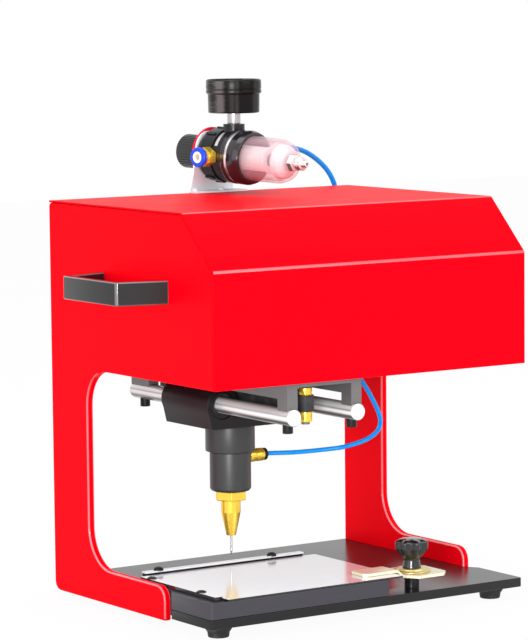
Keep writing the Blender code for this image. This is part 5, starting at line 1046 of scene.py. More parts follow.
@dataclass
class Route:
    """A smooth line through points of the machine's frame."""

    points: Sequence[Point3]
    start: Vector
    end: Vector
    samples: int = 24

    def line(self, spacing: float) -> list[Vector]:
        """Return evenly spaced points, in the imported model's frame."""
        knots = [Vector(point) for point in self.points]
        knots = [2 * knots[0] - knots[1], *knots, 2 * knots[-1] - knots[-2]]
        fine: list[Vector] = []
        for p0, p1, p2, p3 in zip(knots, knots[1:], knots[2:], knots[3:]):
            for step in range(self.samples):
                t = step / self.samples
                square = (2 * p0 - 5 * p1 + 4 * p2 - p3) * t ** 2
                cube = (3 * p1 - p0 - 3 * p2 + p3) * t ** 3
                fine.append(0.5 * (2 * p1 + (p2 - p0) * t + square + cube))
        fine.append(knots[-2])
        lengths = [0.0]
        for a, b in zip(fine, fine[1:]):
            lengths.append(lengths[-1] + (b - a).length)
        count = math.ceil(lengths[-1] / spacing)
        line: list[Vector] = [self.start]
        index = 0
        for number in range(count + 1):
            target = lengths[-1] * number / count
            while index < len(fine) - 2 and lengths[index + 1] < target:
                index += 1
            share = (target - lengths[index]) / (lengths[index + 1] - lengths[index])
            line.append(fine[index].lerp(fine[index + 1], share))
        line.append(self.end)
        return [point + MACHINE for point in line]


@dataclass(frozen=True)
class RegulatorAxis:
    """The line from the regulator's knob to its drain."""

    place: Point3 = (0.017, -0.005, 0.4665)
    yaw: float = math.radians(14)
    dip: float = math.radians(3.3)

    def frame(self) -> Matrix:
        """Return the frame with Z from knob to drain, Y upwards and X to the right."""
        forward = Vector((math.sin(self.yaw) * math.cos(self.dip),
                          -math.cos(self.yaw) * math.cos(self.dip), -math.sin(self.dip)))
        right = Vector((math.cos(self.yaw), math.sin(self.yaw), 0.0))
        up = forward.cross(right)
        frame = Matrix((right, up, forward)).transposed().to_4x4()
        frame.translation = Vector(self.place) + MACHINE
        return frame

    def point(self, x: float, y: float, along: float) -> Vector:
        """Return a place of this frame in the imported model's frame."""
        return self.frame() @ Vector((x, y, along))

    def sideways(self, along: float) -> Matrix:
        """Return the frame whose Z runs along this frame's X, at a place along the regulator."""
        turn = Matrix(((0, 0, 1, 0), (1, 0, 0, 0), (0, 1, 0, along), (0, 0, 0, 1)))
        return self.frame() @ turn


REGULATOR = RegulatorAxis()


@dataclass
class Hoses(Assembly):
    """The two blue air hoses, each held by a fitting at both ends."""

    head_diameter: float = 0.005
    feed_diameter: float = 0.006
    spacing: float = 0.006
    round_steps: int = 6
    straight_share: float = 1.2
    head_start: Point3 = (-0.0123, -0.139, 0.1447)
    head_end: Point3 = (0.044, -0.238, 0.23970)
    head_route: tuple[Point3, ...] = (
        (-0.0063, -0.139, 0.1447), (0.0255, -0.148, 0.1441), (0.0594, -0.168, 0.1474),
        (0.0708, -0.180, 0.1509), (0.0808, -0.195, 0.1574), (0.0865, -0.209, 0.1670),
        (0.0853, -0.219, 0.1788), (0.0783, -0.226, 0.1905), (0.0680, -0.231, 0.2045),
        (0.0560, -0.235, 0.2200), (0.044, -0.238, 0.2337))
    outlet: Point3 = (0.0503, 0.0, 0.016)
    feed_route: tuple[Point3, ...] = (
        (0.106, 0.0000, 0.4698), (0.127, 0.0060, 0.4690), (0.146, 0.0105, 0.4645),
        (0.163, 0.0130, 0.4560), (0.178, 0.0145, 0.4445), (0.187, 0.0152, 0.4335),
        (0.1925, 0.0155, 0.4215), (0.1950, 0.0155, 0.4040), (0.1935, 0.0155, 0.3860),
        (0.1885, 0.0155, 0.3690))
    feed_end: Point3 = (0.1835, 0.0155, 0.3503)

    def _tube(self, name: str, node: str, body: str, route: Route, diameter: float,
              held: str = "") -> None:
        """Args:
            name: the new piece's name.
            node: the CAD node that it stands for.
            body: the CAD body that carries it, or carries its start.
            route: the line that it follows.
            diameter: how thick it is.
            held: the CAD body that holds its end, where that is another one.
        """
        line = route.line(self.spacing)
        curve = bpy.data.curves.new(name, "CURVE")
        curve.dimensions = "3D"
        curve.bevel_depth = diameter / 2
        curve.bevel_resolution = self.round_steps
        curve.use_fill_caps = True
        spline = curve.splines.new("POLY")
        spline.points.add(len(line) - 1)
        for target, point in zip(spline.points, line):
            target.co = (*point, 1.0)
        spline.use_smooth = True
        hose = Form.settle(in_scene(name, curve))
        self.finishes.dress(hose, "blue_hose")
        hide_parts(node)
        if held:
            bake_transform(hose)
        else:
            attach(hose, body)
        length = sum((b - a).length for a, b in zip(line, line[1:]))
        LOG.info("%s starts on %s", name, body)

    def build(self) -> None:
        """Build both hoses."""
        head = Route(self.head_route, Vector(self.head_start), Vector(self.head_end))
        self._tube("head_hose", "stylus_hose", "marking_head", head, self.head_diameter,
                   "cross_slide")
        straight = self.straight_share * self.feed_diameter
        x, y, along = self.outlet
        outlet = REGULATOR.point(x, y, along) - MACHINE
        first = REGULATOR.point(x + straight, y, along) - MACHINE
        end = Vector(self.feed_end)
        last = end + Vector((0.0, 0.0, straight))
        feed = Route((tuple(first), *self.feed_route, tuple(last)), outlet, end)
        self._tube("supply_hose", "feed_hose", "frame", feed, self.feed_diameter)


@dataclass
class Shell(Assembly):
    """The red side plates, the folded head cover and the rear cover."""

    plate_edge: float = 0.0017
    cover_edge: float = 0.0006
    throat_y: Point2 = (-0.330, -0.060)
    throat_z: Point2 = (0.005, 0.243)
    # the cover's painted shade at its side seams and painted highlight on its bends
    cut_facing: float = 0.2
    bend_facing: float = 0.1
    bend_share: float = 0.03
    bend_tone: float = 0.55
    cut_tone: float = -0.7

    def _plate_tone(self, facet: Facet) -> float:
        """Return a plate edge's tone: painted highlight round the throat, painted shade at the
        cover seam.
        """
        place = facet.centre
        if not facet.rounding:
            return 0.0
        within = (self.throat_y[0] < place.y < self.throat_y[1]
                  and self.throat_z[0] < place.z < self.throat_z[1])
        # painted highlight round the throat
        if within:
            return 1.0
        # painted shade along the seam with the cover
        inwards = place.x * facet.normal.x < 0
        return -1.0 if place.z > self.throat_z[1] and inwards else 0.0

    def _cover_tone(self, facet: Facet) -> float:
        """Return a cover face's tone: painted shade at its side seams, painted highlight on its
        bends.
        """
        x, y, z = (abs(part) for part in facet.normal)
        if facet.rounding:
            return self.cut_tone if x > self.cut_facing else 0.0
        bent = x < self.bend_facing < min(y, z) and facet.share < self.bend_share
        return self.bend_tone if bent and facet.normal.z > 0 else 0.0

    def build(self) -> None:
        """Build the four red pieces."""
        for side in SIDES:
            self.refine(f"{side}_side_plate", "red_paint", self.plate_edge, 4,
                        self._plate_tone)
        for cover in ("top_cover", "rear_cover"):
            self.refine(cover, "red_paint", self.cover_edge, mark=self._cover_tone)


@dataclass
class Base(Assembly):
    """The base plate, its feet, the work table and the stops."""

    front_feet: Point2 = (0.177, -0.294)
    rear_feet: Point2 = (0.148, -0.040)
    foot_height: float = 0.013
    foot_radius: float = 0.0135
    foot_rim: float = 0.0141
    recess_radius: float = 0.0045
    recess_depth: float = 0.007
    table_seat: float = 0.0303
    stop_bottom: float = 0.0281
    stop_edge: float = 0.0003
    rear_stop_x: Point2 = (-0.178, 0.027)
    rear_stop_y: float = -0.150
    rear_stop_half: float = 0.004
    rear_stop_height: float = 0.0032
    rear_bar_depth: float = 0.0018
    # the black strip under the bar is painted shadow
    sole_inset: float = 0.0008
    sole_edge: float = 0.0002
    left_stop_x: float = -0.1865
    left_stop_y: Point2 = (-0.310, -0.165)
    left_stop_half: float = 0.0045
    left_stop_height: float = 0.0017
    rear_screws: tuple[float, ...] = (-0.159, -0.013)
    left_screws: tuple[float, ...] = (-0.181, -0.277)
    screw_radius: float = 0.0053
    rear_screw_height: float = 0.0034
    left_screw_height: float = 0.0016
    socket_radius: float = 0.0019
    foot_screw: Profile = ((0.0, -0.0058), (0.0034, -0.0058, 0.0004), (0.0034, -0.0082, 0.0006),
                           (0.0016, -0.0082), (0.0016, -0.0070), (0.0, -0.0070))

    def _foot(self, name: str, x: float, y: float) -> None:
        """Add one moulded foot with its screw in the recess."""
        recess = self.recess_depth - self.foot_height
        moulding = [
            (0.0, recess),
            (self.recess_radius, recess, 0.0004),
            (self.recess_radius, -self.foot_height, 0.0005),
            (self.foot_radius - 0.0026, -self.foot_height, 0.0010),
            (self.foot_radius - 0.0018, -0.0075, 0.0020),
            (self.foot_rim, -0.0040, 0.0012),
            (self.foot_rim, -0.0003, 0.0003),
            (0.0, -0.0003),
        ]
        self.turn(machine_frame(Axis.Z, (x, y)),
                  Turned(f"{name}_moulding", moulding, "rubber", node=name),
                  Turned(f"{name}_screw", self.foot_screw, "steel", steps=24))

    def _stop_screws(self, stop: str, spots: Sequence[Point2], seat: float, height: float) -> None:
        """Add the round-headed screws of a stop, each with a hexagon socket.

        Args:
            stop: the stop's name.
            spots: where the screws stand.
            seat: the height of the stop's face.
            height: how far the heads rise over it.
        """
        rim, socket = self.screw_radius, self.socket_radius
        head = [(0.0, seat - 0.0004), (rim, seat - 0.0004), (rim, seat + height * 0.35, 0.0006),
                (rim * 0.72, seat + height * 0.9, 0.0010), (socket, seat + height, 0.0004),
                (socket, seat + height * 0.3), (0.0, seat + height * 0.2)]
        for index, spot in enumerate(spots):
            self.turn(machine_frame(Axis.Z, spot),
                      Turned(f"{stop}_screw_{index + 1}", head, "screw_black", steps=48))

    def _rear_stop(self, frame: Matrix) -> None:
        """Add the rear stop: a bright bar on a black strip set back under it, which paints the
        shadow under the bar.
        """
        x, y = self.rear_stop_x, around(self.rear_stop_y, self.rear_stop_half)
        top = self.table_seat + self.rear_stop_height
        split = top - self.rear_bar_depth
        bar = Form.prism("rear_stop_top", rectangle(x, y), frame, split, top, self.stop_edge)
        # painted shadow: a black strip under the bright bar
        shadow_strip = Form.prism("rear_stop_sole", rectangle(x, y, self.sole_inset), frame,
                          self.stop_bottom, split + self.sole_edge, self.sole_edge)
        pair = [self.finishes.dress(bar, "stop_bar"), self.finishes.dress(shadow_strip, "screw_black")]
        self.fit(Form.joined("rear_stop_bar", pair), "", "rear_stop")
        self._stop_screws("rear_stop", [(spot, self.rear_stop_y) for spot in self.rear_screws],
                          top, self.rear_screw_height)

    def _left_stop(self, frame: Matrix) -> None:
        """Add the left stop, which is one bright bar."""
        outline = rectangle(around(self.left_stop_x, self.left_stop_half), self.left_stop_y)
        top = self.table_seat + self.left_stop_height
        bar = Form.prism("left_stop_bar", outline, frame, self.stop_bottom, top, self.stop_edge)
        self.fit(bar, "bright_sheet", "left_stop")
        self._stop_screws("left_stop", [(self.left_stop_x, spot) for spot in self.left_screws],
                          top, self.left_screw_height)

    def build(self) -> None:
        """Build the base's pieces."""
        self.refine("base_plate", "base_gloss", 0.0007, 3)
        self.refine("work_table", "table_grey", 0.0005)
        self.refine("table_top", "bright_sheet", 0.0003)
        for row, (x, y) in (("front", self.front_feet), ("rear", self.rear_feet)):
            self._foot(f"{row}_left_foot", -x, y)
            self._foot(f"{row}_right_foot", x, y)
        frame = machine_frame(Axis.Z)
        self._rear_stop(frame)
        self._left_stop(frame)


@dataclass
class Clamp(Assembly):
    """The bent clamp plate, its washers and its star knob."""

    centre: Point2 = (0.074, -0.290)
    seat: float = 0.0273
    washer_radius: float = 0.0205
    washer_top: float = 0.0310
    hub_radius: float = 0.0095
    star_bottom: float = 0.0470
    star_top: float = 0.0630
    star_radius: float = 0.018
    star_steps: int = 168
    lobes: int = 7
    valley: float = 0.0040
    valley_least: float = 0.25
    bore: float = 0.0043

    def _lobe(self, angle: float, along: float) -> float:
        """Return how far the star's edge is drawn in at an angle and height."""
        rise = max(0.0, min(1.0, (along - self.star_bottom + 0.004) / 0.006))
        fall = max(0.0, min(1.0, (self.star_top - 0.0004 - along) / 0.001))
        depth = self.valley * rise * max(fall, self.valley_least)
        return -depth * (1 - math.cos(self.lobes * angle)) / 2

    def build(self) -> None:
        """Build the clamp's pieces."""
        self.refine("clamp_plate", "cream_plate", 0.0005, 3, body="clamp_plate")
        bore, seat, washer, top = self.bore, self.seat, self.washer_radius, self.washer_top
        washers = [(bore, seat), (washer, seat, 0.0005), (washer, seat + 0.0016, 0.0006),
                   (washer - 0.0045, seat + 0.0019, 0.0004), (washer - 0.0050, top, 0.0005),
                   (bore, top)]
        hub, star = self.hub_radius, self.star_radius
        knob = [(bore, top + 0.0003),
                (hub + 0.0008, top + 0.0003, 0.0004),
                (hub, top + 0.0035, 0.001),
                (hub - 0.0012, self.star_bottom - 0.006, 0.004),
                (star - 0.0035, self.star_bottom, 0.003),
                (star, self.star_bottom + 0.005, 0.003),
                (star, self.star_top - 0.0030, 0.0022),
                (star - 0.0050, self.star_top - 0.0010, 0.002),
                (0.0065, self.star_top - 0.0001, 0.003),
                (0.0, self.star_top),
                (0.0, top + 0.0123),
                (bore, top + 0.0103)]
        self.turn(machine_frame(Axis.Z, self.centre),
                  Turned("knob_washer", washers, "washer_zinc", body="clamp_knob", closed=True),
                  Turned("star_knob", knob, "knob_black", "clamp_knob", "clamp_knob",
                         steps=self.star_steps, reach=self._lobe))


@dataclass
class Handles(Assembly):
    """The two carrying handles."""

    edge: float = 0.0012

    def build(self) -> None:
        """Build both handles."""
        for side in SIDES:
            # black_handle gives the handles' rounded edges a painted highlight
            self.refine(f"{side}_handle", "black_handle", self.edge, 3)


@dataclass(frozen=True)
class Drive:
    """A toothed belt with its two pulleys and its motor."""

    name: str
    body: str
    driver: Point2
    idler: Point2
    pulleys: Point2
    belt: Point2
    shaft_top: float
    motor: Point2
    motor_size: float


@dataclass
class Gantry(Assembly):
    """Rails, brackets, drives, the carriage and the Y channel."""

    rod_radius: float = 0.009
    rod_y: Point2 = (-0.321, -0.012)
    screw_y: Point2 = (-0.309, -0.030)
    screw_radius: float = 0.0055
    screw_bottom: float = 0.193
    screw_socket: float = 0.0027
    pulley_radius: float = 0.007
    pulley_teeth: int = 18
    pulley_tooth: Point2 = (0.0012, 0.0011)
    shaft_radius: float = 0.0025
    belt_inner: float = 0.0073
    belt_edge: float = 0.0002
    tooth: Point2 = (0.0009, 0.0011)
    tooth_pitch: float = 0.003
    cap_share: float = 0.26
    chamfer_share: float = 0.12
    stack_share: float = 0.985
    stack_edge: float = 0.0002
    drives: tuple[Drive, ...] = (
        Drive("x", "frame", (-0.165, -0.173), (0.165, -0.173), (0.312, 0.326), (0.314, 0.324),
              0.350, (0.3343, 0.3723), 0.042),
        Drive("y", "cross_slide", (-0.0685, -0.030), (-0.0685, -0.298), (0.202, 0.238),
              (0.213, 0.230), 0.263, (0.2473, 0.2838), 0.036))

    def _rods(self) -> None:
        """Add both Y rods with their cap screws."""
        rim, socket, bottom = self.screw_radius, self.screw_socket, self.screw_bottom
        seat = ROD_HEIGHT - self.rod_radius + 0.001
        rod = tube(0.0, self.rod_radius, self.rod_y, (0.0009, 0.0009))
        head = [(0.0, seat), (rim, seat), (rim, bottom, 0.0007), (socket, bottom, 0.0002),
                (socket, bottom + 0.004), (0.0, bottom + 0.0045)]
        for side, x in ROD_X.items():
            self.turn(machine_frame(Axis.Y, (x, ROD_HEIGHT)),
                      Turned(f"{side}_y_shaft", rod, "chrome", f"{side}_y_rod", "cross_slide"))
            for end, y in zip(("front", "rear"), self.screw_y):
                self.turn(machine_frame(Axis.Z, (x, y)),
                          Turned(f"{side}_{end}_rod_screw", head, "screw_black",
                                 body="cross_slide", steps=48))

    def _teeth(self, drive: Drive) -> None:
        """Add the teeth inside a belt that runs round two upright pulleys."""
        start, end = (Vector(spot) for spot in sorted((drive.driver, drive.idler)))
        run = (end - start).normalized()
        length = (end - start).length
        depth, width = self.tooth
        out = Vector((-run.y, run.x)) * (self.belt_inner - depth / 4)
        heading = math.atan2(run.y, run.x) + math.pi / 2
        low, high = drive.belt
        count = int(length / self.tooth_pitch)
        spots = []
        for index in range(count):
            middle = start + run * ((index + 0.5) * length / count)
            for spot in (middle - out, middle + out):
                spots.append(((spot.x, spot.y, (low + high) / 2), heading))
        self.repeat(Instance.BLOCK, f"{drive.name}_belt_teeth", spots, machine_frame(Axis.Z),
                    "belt_rubber", drive.body, Size=(depth, width, high - low - self.belt_edge))

    def _pulley(self, name: str, drive: Drive, centre: Point2, shaft_top: float = 0.0) -> None:
        """Add one flanged pulley with its teeth.

        Args:
            name: the CAD node, which is also its body.
            drive: the drive that it belongs to.
            centre: where it stands.
            shaft_top: how high a motor's shaft stands in it, where there is one.
        """
        low, high = drive.pulleys
        bottom, top = drive.belt
        rim, shaft = self.pulley_radius, self.shaft_radius
        seat = rim - 0.0012
        profile = [(0.0, low + 0.0006), (0.0020, low + 0.0006), (0.0026, low, 0.0003),
                   (rim - 0.0004, low, 0.0003), (rim, low + 0.0008, 0.0003),
                   (rim, bottom - 0.0006, 0.0003), (seat, bottom - 0.0002, 0.0002),
                   (seat, top + 0.0002, 0.0002), (rim, top + 0.0006, 0.0003), (rim, high, 0.0006)]
        if shaft_top > high:
            profile += [(shaft, high), (shaft, shaft_top, 0.0003), (0.0, shaft_top)]
        else:
            profile += [(0.0, high)]
        frame = machine_frame(Axis.Z, centre)
        self.turn(frame, Turned(f"{name}_turned", profile, "brass", name, name, steps=60))
        depth, width = self.pulley_tooth
        self.ring(frame, Ring(f"{name}_teeth", self.pulley_teeth, rim - 0.0010,
                              (bottom + top) / 2, (depth, width, top - bottom), "brass", name))

    def _motor(self, drive: Drive) -> None:
        """Add one stepper motor: two cast end caps and the stack between them."""
        name = f"{drive.name}_motor"
        bottom, top = drive.motor
        half = drive.motor_size / 2
        cut = half - drive.motor_size * self.chamfer_share
        outline = [(half, cut), (cut, half), (-cut, half), (-half, cut),
                   (-half, -cut), (-cut, -half), (cut, -half), (half, -cut)]
        frame = machine_frame(Axis.Z, drive.driver)
        third = (top - bottom) * self.cap_share
        pieces = []
        for index, (low, high) in enumerate(((bottom, bottom + third), (top - third, top))):
            cap = Form.prism(f"{name}_cap_{index + 1}", outline, frame, low, high, 0.0006)
            pieces.append(self.finishes.dress(cap, "motor_black"))
        inner = [(a * self.stack_share, b * self.stack_share) for a, b in outline]
        edge = self.stack_edge
        stack = Form.prism(f"{name}_stack", inner, frame, bottom + third - edge,
                           top - third + edge, edge)
        pieces.append(self.finishes.dress(stack, "motor_stack"))
        self.fit(Form.joined(f"{name}_case", pieces), "", name, drive.body)

    def build(self) -> None:
        """Build the gantry's pieces."""
        for side in SIDES:
            self.refine(f"{side}_rail_bracket", "channel_grey", 0.0005)
        self._rods()
        for row in ("front", "rear"):
            self.refine(f"{row}_x_rail", "chrome", 0.0005)
        for drive in self.drives:
            self._motor(drive)
            self.refine(f"{drive.name}_belt", "belt_rubber", self.belt_edge, body=drive.body)
            self._teeth(drive)
            self._pulley(f"{drive.name}_drive_pulley", drive, drive.driver, drive.shaft_top)
            self._pulley(f"{drive.name}_idler_pulley", drive, drive.idler)
        self.refine("x_carriage", "channel_grey", 0.0005, body="cross_slide")
        self.refine("air_valve", "black_plastic", 0.0005, body="cross_slide")
        self.refine("y_channel", "channel_grey", 0.0004, body="cross_slide")


@dataclass
class MarkingHead(Assembly):
    """The head carriage with the stylus under it."""

    BODY: ClassVar[str] = "marking_head"

    centre: Point2 = (-0.0584, -0.139)
    collar_radius: float = 0.027
    collar_bottom: float = 0.1526
    top: float = 0.1837
    body_radius: float = 0.0225
    body_bottom: float = 0.109
    piston_bore: float = 0.0125
    pin_bore: float = 0.0043
    chamber_bottom: float = 0.115
    nozzle_bottom: float = 0.0595
    hex_flats: float = 0.032
    hex_bottom: float = 0.0987
    neck_radius: float = 0.01075
    tip_radius: float = 0.0052
    tip_bore: float = 0.0016
    port_height: float = 0.1447
    stroke: float = 0.008
    fitting_x: Point2 = (-0.0356, -0.0126)
    bearing_y: Point2 = (-0.186, -0.096)
    bearing_radius: float = 0.015
    bearing_bore: float = 0.0122
    seal_bore: float = 0.0093
    seals: tuple[tuple[str, float, float], ...] = (("front", -0.1852, -0.1832),
                                                   ("rear", -0.0988, -0.0968))
    pin: Profile = ((0.0, 0.0387), (0.0005, 0.0388, 0.0001), (0.00125, 0.0417, 0.0004),
                    (0.00125, 0.088), (0.004, 0.088, 0.0003), (0.004, 0.130),
                    (0.0122, 0.130, 0.0004), (0.0122, 0.138, 0.0004), (0.0, 0.138))

    def _nozzle(self, frame: Matrix) -> None:
        """Add the nozzle: a hexagon nut that runs out into a neck."""
        corner = self.hex_flats / 2 / math.cos(math.pi / 6)
        hexagon = [(corner * math.cos(math.tau * side / 6), corner * math.sin(math.tau * side / 6))
                   for side in range(6)]
        nut = Form.prism("nozzle_nut", hexagon, frame, self.hex_bottom,
                         self.body_bottom - 0.0003, 0.0012)
        seat, step = self.hex_bottom + 0.0004, 0.074
        neck = [(self.tip_bore, self.nozzle_bottom), (self.tip_radius, self.nozzle_bottom, 0.0005),
                (self.neck_radius, 0.085, 0.002), (self.neck_radius, seat), (self.pin_bore, seat),
                (self.pin_bore, step), (self.tip_bore, step)]
        cone = Form.lathe("nozzle_neck", neck, frame, closed=True)
        pair = [self.finishes.dress(piece, "brass") for piece in (nut, cone)]
        self.fit(Form.joined("stylus_nozzle_turned", pair), "", "stylus_nozzle")

    def _stylus(self) -> None:
        """Add the collar, the body, the nozzle and the pin."""
        frame = machine_frame(Axis.Z, self.centre)
        low, rim = self.collar_bottom, self.body_radius
        collar = tube(0.0, self.collar_radius, (low, self.top), (0.0008, 0.0006))
        body = [(self.pin_bore, self.chamber_bottom), (self.pin_bore, self.body_bottom),
                (rim - 0.0020, self.body_bottom, 0.0010), (rim, self.body_bottom + 0.0024, 0.0016),
                (rim, low - 0.0014, 0.0003), (rim - 0.0006, low - 0.0011),
                (rim - 0.0006, low - 0.0003), (self.piston_bore, low - 0.0003),
                (self.piston_bore, self.chamber_bottom)]
        self.turn(frame,
                  Turned("stylus_collar_turned", collar, "stylus_grey", "stylus_collar",
                         steps=96),
                  Turned("stylus_body_turned", body, "stylus_grey", "stylus_body", steps=96,
                         closed=True),
                  Turned("stylus_pin_ground", self.pin, "steel", "stylus_pin", "stylus_pin",
                         steps=48))
        self._nozzle(frame)

    def _fitting(self) -> None:
        """Add the brass air fitting with its dark release ring."""
        start, end = self.fitting_x
        nut_end = start + 0.0080
        fitting = [(0.0015, start - 0.0050), (0.0047, start - 0.0050), (0.0047, start),
                   (0.0074, start, 0.0006), (0.0074, nut_end, 0.0006),
                   (0.0062, nut_end + 0.0008, 0.0004), (0.0062, nut_end + 0.0022, 0.0004),
                   (0.0073, nut_end + 0.0030, 0.0006), (0.0073, end - 0.0046, 0.0005),
                   (0.0015, end - 0.0046)]
        ring = [(0.0028, end - 0.0044), (0.0068, end - 0.0044, 0.0005), (0.0068, end, 0.0009),
                (0.0028, end, 0.0004)]
        self.turn(machine_frame(Axis.X, (self.centre[1], self.port_height)),
                  Turned("stylus_fitting_turned", fitting, "brass", "stylus_fitting", steps=64,
                         closed=True),
                  Turned("fitting_release_ring", ring, "screw_black", steps=48, closed=True))

    def _spring(self) -> None:
        """Add the return spring, which the piston presses together; here it keeps one shape."""
        spring = self.refine("stylus_spring", "steel", 0.0)
        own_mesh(spring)

    def _bearings(self) -> None:
        """Add both linear bearings and the seals in their ends."""
        bore = self.bearing_bore
        case = tube(bore, self.bearing_radius, self.bearing_y, (0.0005, 0.0005))
        for side, x in ROD_X.items():
            frame = machine_frame(Axis.Y, (x, ROD_HEIGHT))
            self.turn(frame, Turned(f"{side}_bearing_case", case, "carriage_black",
                                    f"{side}_bearing", steps=64, closed=True))
            for end, low, high in self.seals:
                seal = [(self.seal_bore, low + 0.0005), (bore, low, 0.0003),
                        (bore, high, 0.0003), (self.seal_bore, high - 0.0005)]
                self.turn(frame, Turned(f"{side}_{end}_bearing_seal", seal, "rubber", steps=64,
                                        closed=True))

    def build(self) -> None:
        """Build the head's pieces."""
        self.refine("head_carriage", "carriage_black", 0.0005)
        self._bearings()
        self._stylus()
        self._fitting()
        self._spring()


@dataclass
class FilterRegulator(Assembly):
    """The filter regulator on its bracket; its profiles run along REGULATOR."""

    knob_radius: float = 0.01925
    body_ribs: Ring = Ring("regulator_body_ribs", count=10, radius=0.0302, along=0.0060,
                           size=(0.0022, 0.0030, 0.0130), finish="black_plastic", start=0.32)
    pleats: Ring = Ring("filter_element_pleats", count=40, radius=0.0131, along=0.054,
                        size=(0.0012, 0.0008, 0.046), finish="white_plastic")
    port_along: float = 0.016
    label_along: Point2 = (0.0190, 0.0272)
    label_radii: Point2 = (0.0284, 0.0291)
    label_degrees: tuple[int, int, int] = (115, 156, 5)
    bowl_pieces: tuple[Turned, ...] = (
        Turned("bowl_collar_moulding",
               ((0.0253, 0.0303), (0.0305, 0.0303, 0.0008), (0.0305, 0.0350, 0.0006),
                (0.0292, 0.0356, 0.0004), (0.0292, 0.0400, 0.0004), (0.0305, 0.0406, 0.0006),
                (0.0305, 0.0500, 0.0010), (0.0285, 0.056, 0.0012), (0.0253, 0.056)),
               "collar_smoke", node="bowl_collar", steps=90, closed=True),
        Turned("bowl_collar_band",
               tube(0.0288, 0.0297, (0.0364, 0.0392), (0.0002, 0.0002)),
               "chrome", steps=90, closed=True),
        Turned("filter_bowl_moulding",
               ((0.025, 0.034), (0.025, 0.060, 0.001), (0.0246, 0.096, 0.006),
                (0.021, 0.107, 0.006), (0.014, 0.112, 0.002), (0.0043, 0.112), (0.0043, 0.1095),
                (0.013, 0.1095, 0.002), (0.0185, 0.1045, 0.005), (0.0221, 0.095, 0.005),
                (0.0225, 0.034)),
               "clear_bowl", node="filter_bowl", steps=96, closed=True),
        Turned("drain_nut", tube(0.0043, 0.0103, (0.1123, 0.118), (0.0005, 0.0006)),
               "chrome", steps=6, closed=True),
        Turned("filter_element_moulding",
               ((0.008, 0.0303), (0.013, 0.0303), (0.013, 0.078, 0.0006),
                (0.0150, 0.079, 0.0005), (0.0150, 0.082, 0.0006), (0.008, 0.082)),
               "white_plastic", node="filter_element", closed=True),
        Turned("bowl_baffle",
               ((0.0045, 0.0960), (0.0198, 0.0960, 0.0008), (0.0185, 0.1040, 0.003),
                (0.0120, 0.1085, 0.002), (0.0045, 0.1085)),
               "white_plastic", closed=True),
        Turned("drain_valve_turned",
               ((0.002, 0.104), (0.004, 0.104), (0.004, 0.1213), (0.0075, 0.1213, 0.0005),
                (0.0075, 0.1238, 0.0004), (0.0066, 0.1243, 0.0002), (0.0066, 0.1258, 0.0002),
                (0.0075, 0.1263, 0.0004), (0.0075, 0.1283, 0.0006), (0.004, 0.1286, 0.0004),
                (0.0036, 0.1315, 0.0004), (0.0040, 0.1325, 0.0003), (0.0034, 0.134, 0.0003),
                (0.002, 0.134)),
               "chrome", "drain_valve", "drain_valve", steps=60, closed=True))
    inlet_pieces: tuple[Turned, ...] = (
        Turned("inlet_collar_moulding",
               ((0.0046, -0.0506), (0.0110, -0.0506, 0.0012), (0.0110, -0.0456, 0.0008),
                (0.0058, -0.0456), (0.0058, -0.0348), (0.0046, -0.0348)),
               "blue_plastic", "inlet_release_collar", "inlet_release_collar", steps=64,
               closed=True),
        Turned("inlet_cream_insert",
               ((0.0032, -0.0504), (0.0064, -0.0509, 0.0003), (0.0064, -0.0500),
                (0.0046, -0.0500), (0.0046, -0.0400), (0.0032, -0.0400)),
               "cream_plastic", body="inlet_release_collar", steps=48, closed=True))

    def _knob(self, frame: Matrix) -> None:
        """Add the pressure knob with its ribs."""
        rim, inner = self.knob_radius, self.knob_radius - 0.0008
        knob = [(0.0, -0.050), (inner - 0.0035, -0.050, 0.0008), (inner, -0.0470, 0.0012),
                (inner, -0.0215, 0.0004), (inner - 0.0008, -0.0208, 0.0003),
                (inner - 0.0008, -0.0196, 0.0003), (rim, -0.0190, 0.0003),
                (rim, -0.014, 0.0008), (0.0033, -0.014), (0.0033, -0.0357), (0.0, -0.0363)]
        self.turn(frame, Turned("pressure_knob_moulding", knob, "knob_black", "pressure_knob",
                                "pressure_knob", steps=90))
        self.ring(frame, Ring("pressure_knob_ribs", count=36, radius=inner, along=-0.0338,
                              size=(0.0014, 0.0016, 0.0240), finish="knob_black",
                              body="pressure_knob"))

    def _label(self, frame: Matrix) -> None:
        """Add the blank label plate, which is bent to the body."""
        inner, outer = self.label_radii
        angles = [math.radians(angle) for angle in range(*self.label_degrees)]
        arc = [(outer, angle) for angle in angles] + [(inner, angle) for angle in angles[::-1]]
        rings = [[frame @ Vector((radius * math.cos(angle), radius * math.sin(angle), along))
                  for radius, angle in arc] for along in self.label_along]
        plate = Form.soften(Form.place("blank_label_plate", Form.loops(rings, False)), 0.0002)
        self.fit(plate, "label_silver")

    def build(self) -> None:
        """Build the regulator's pieces."""
        frame = REGULATOR.frame()
        self._knob(frame)
        self.refine("panel_nut", "red_plastic", 0.0005)
        self.refine("regulator_bracket", "bracket_white", 0.0005, 3)
        self.refine("regulator_body", "black_plastic", 0.0006, 3)
        self.ring(frame, self.body_ribs)
        self._label(frame)
        self.turn(frame, *self.bowl_pieces)
        self.ring(frame, self.pleats)
        self.refine("inlet_fitting", "brass", 0.0006, 3)
        self.turn(REGULATOR.sideways(self.port_along), *self.inlet_pieces)


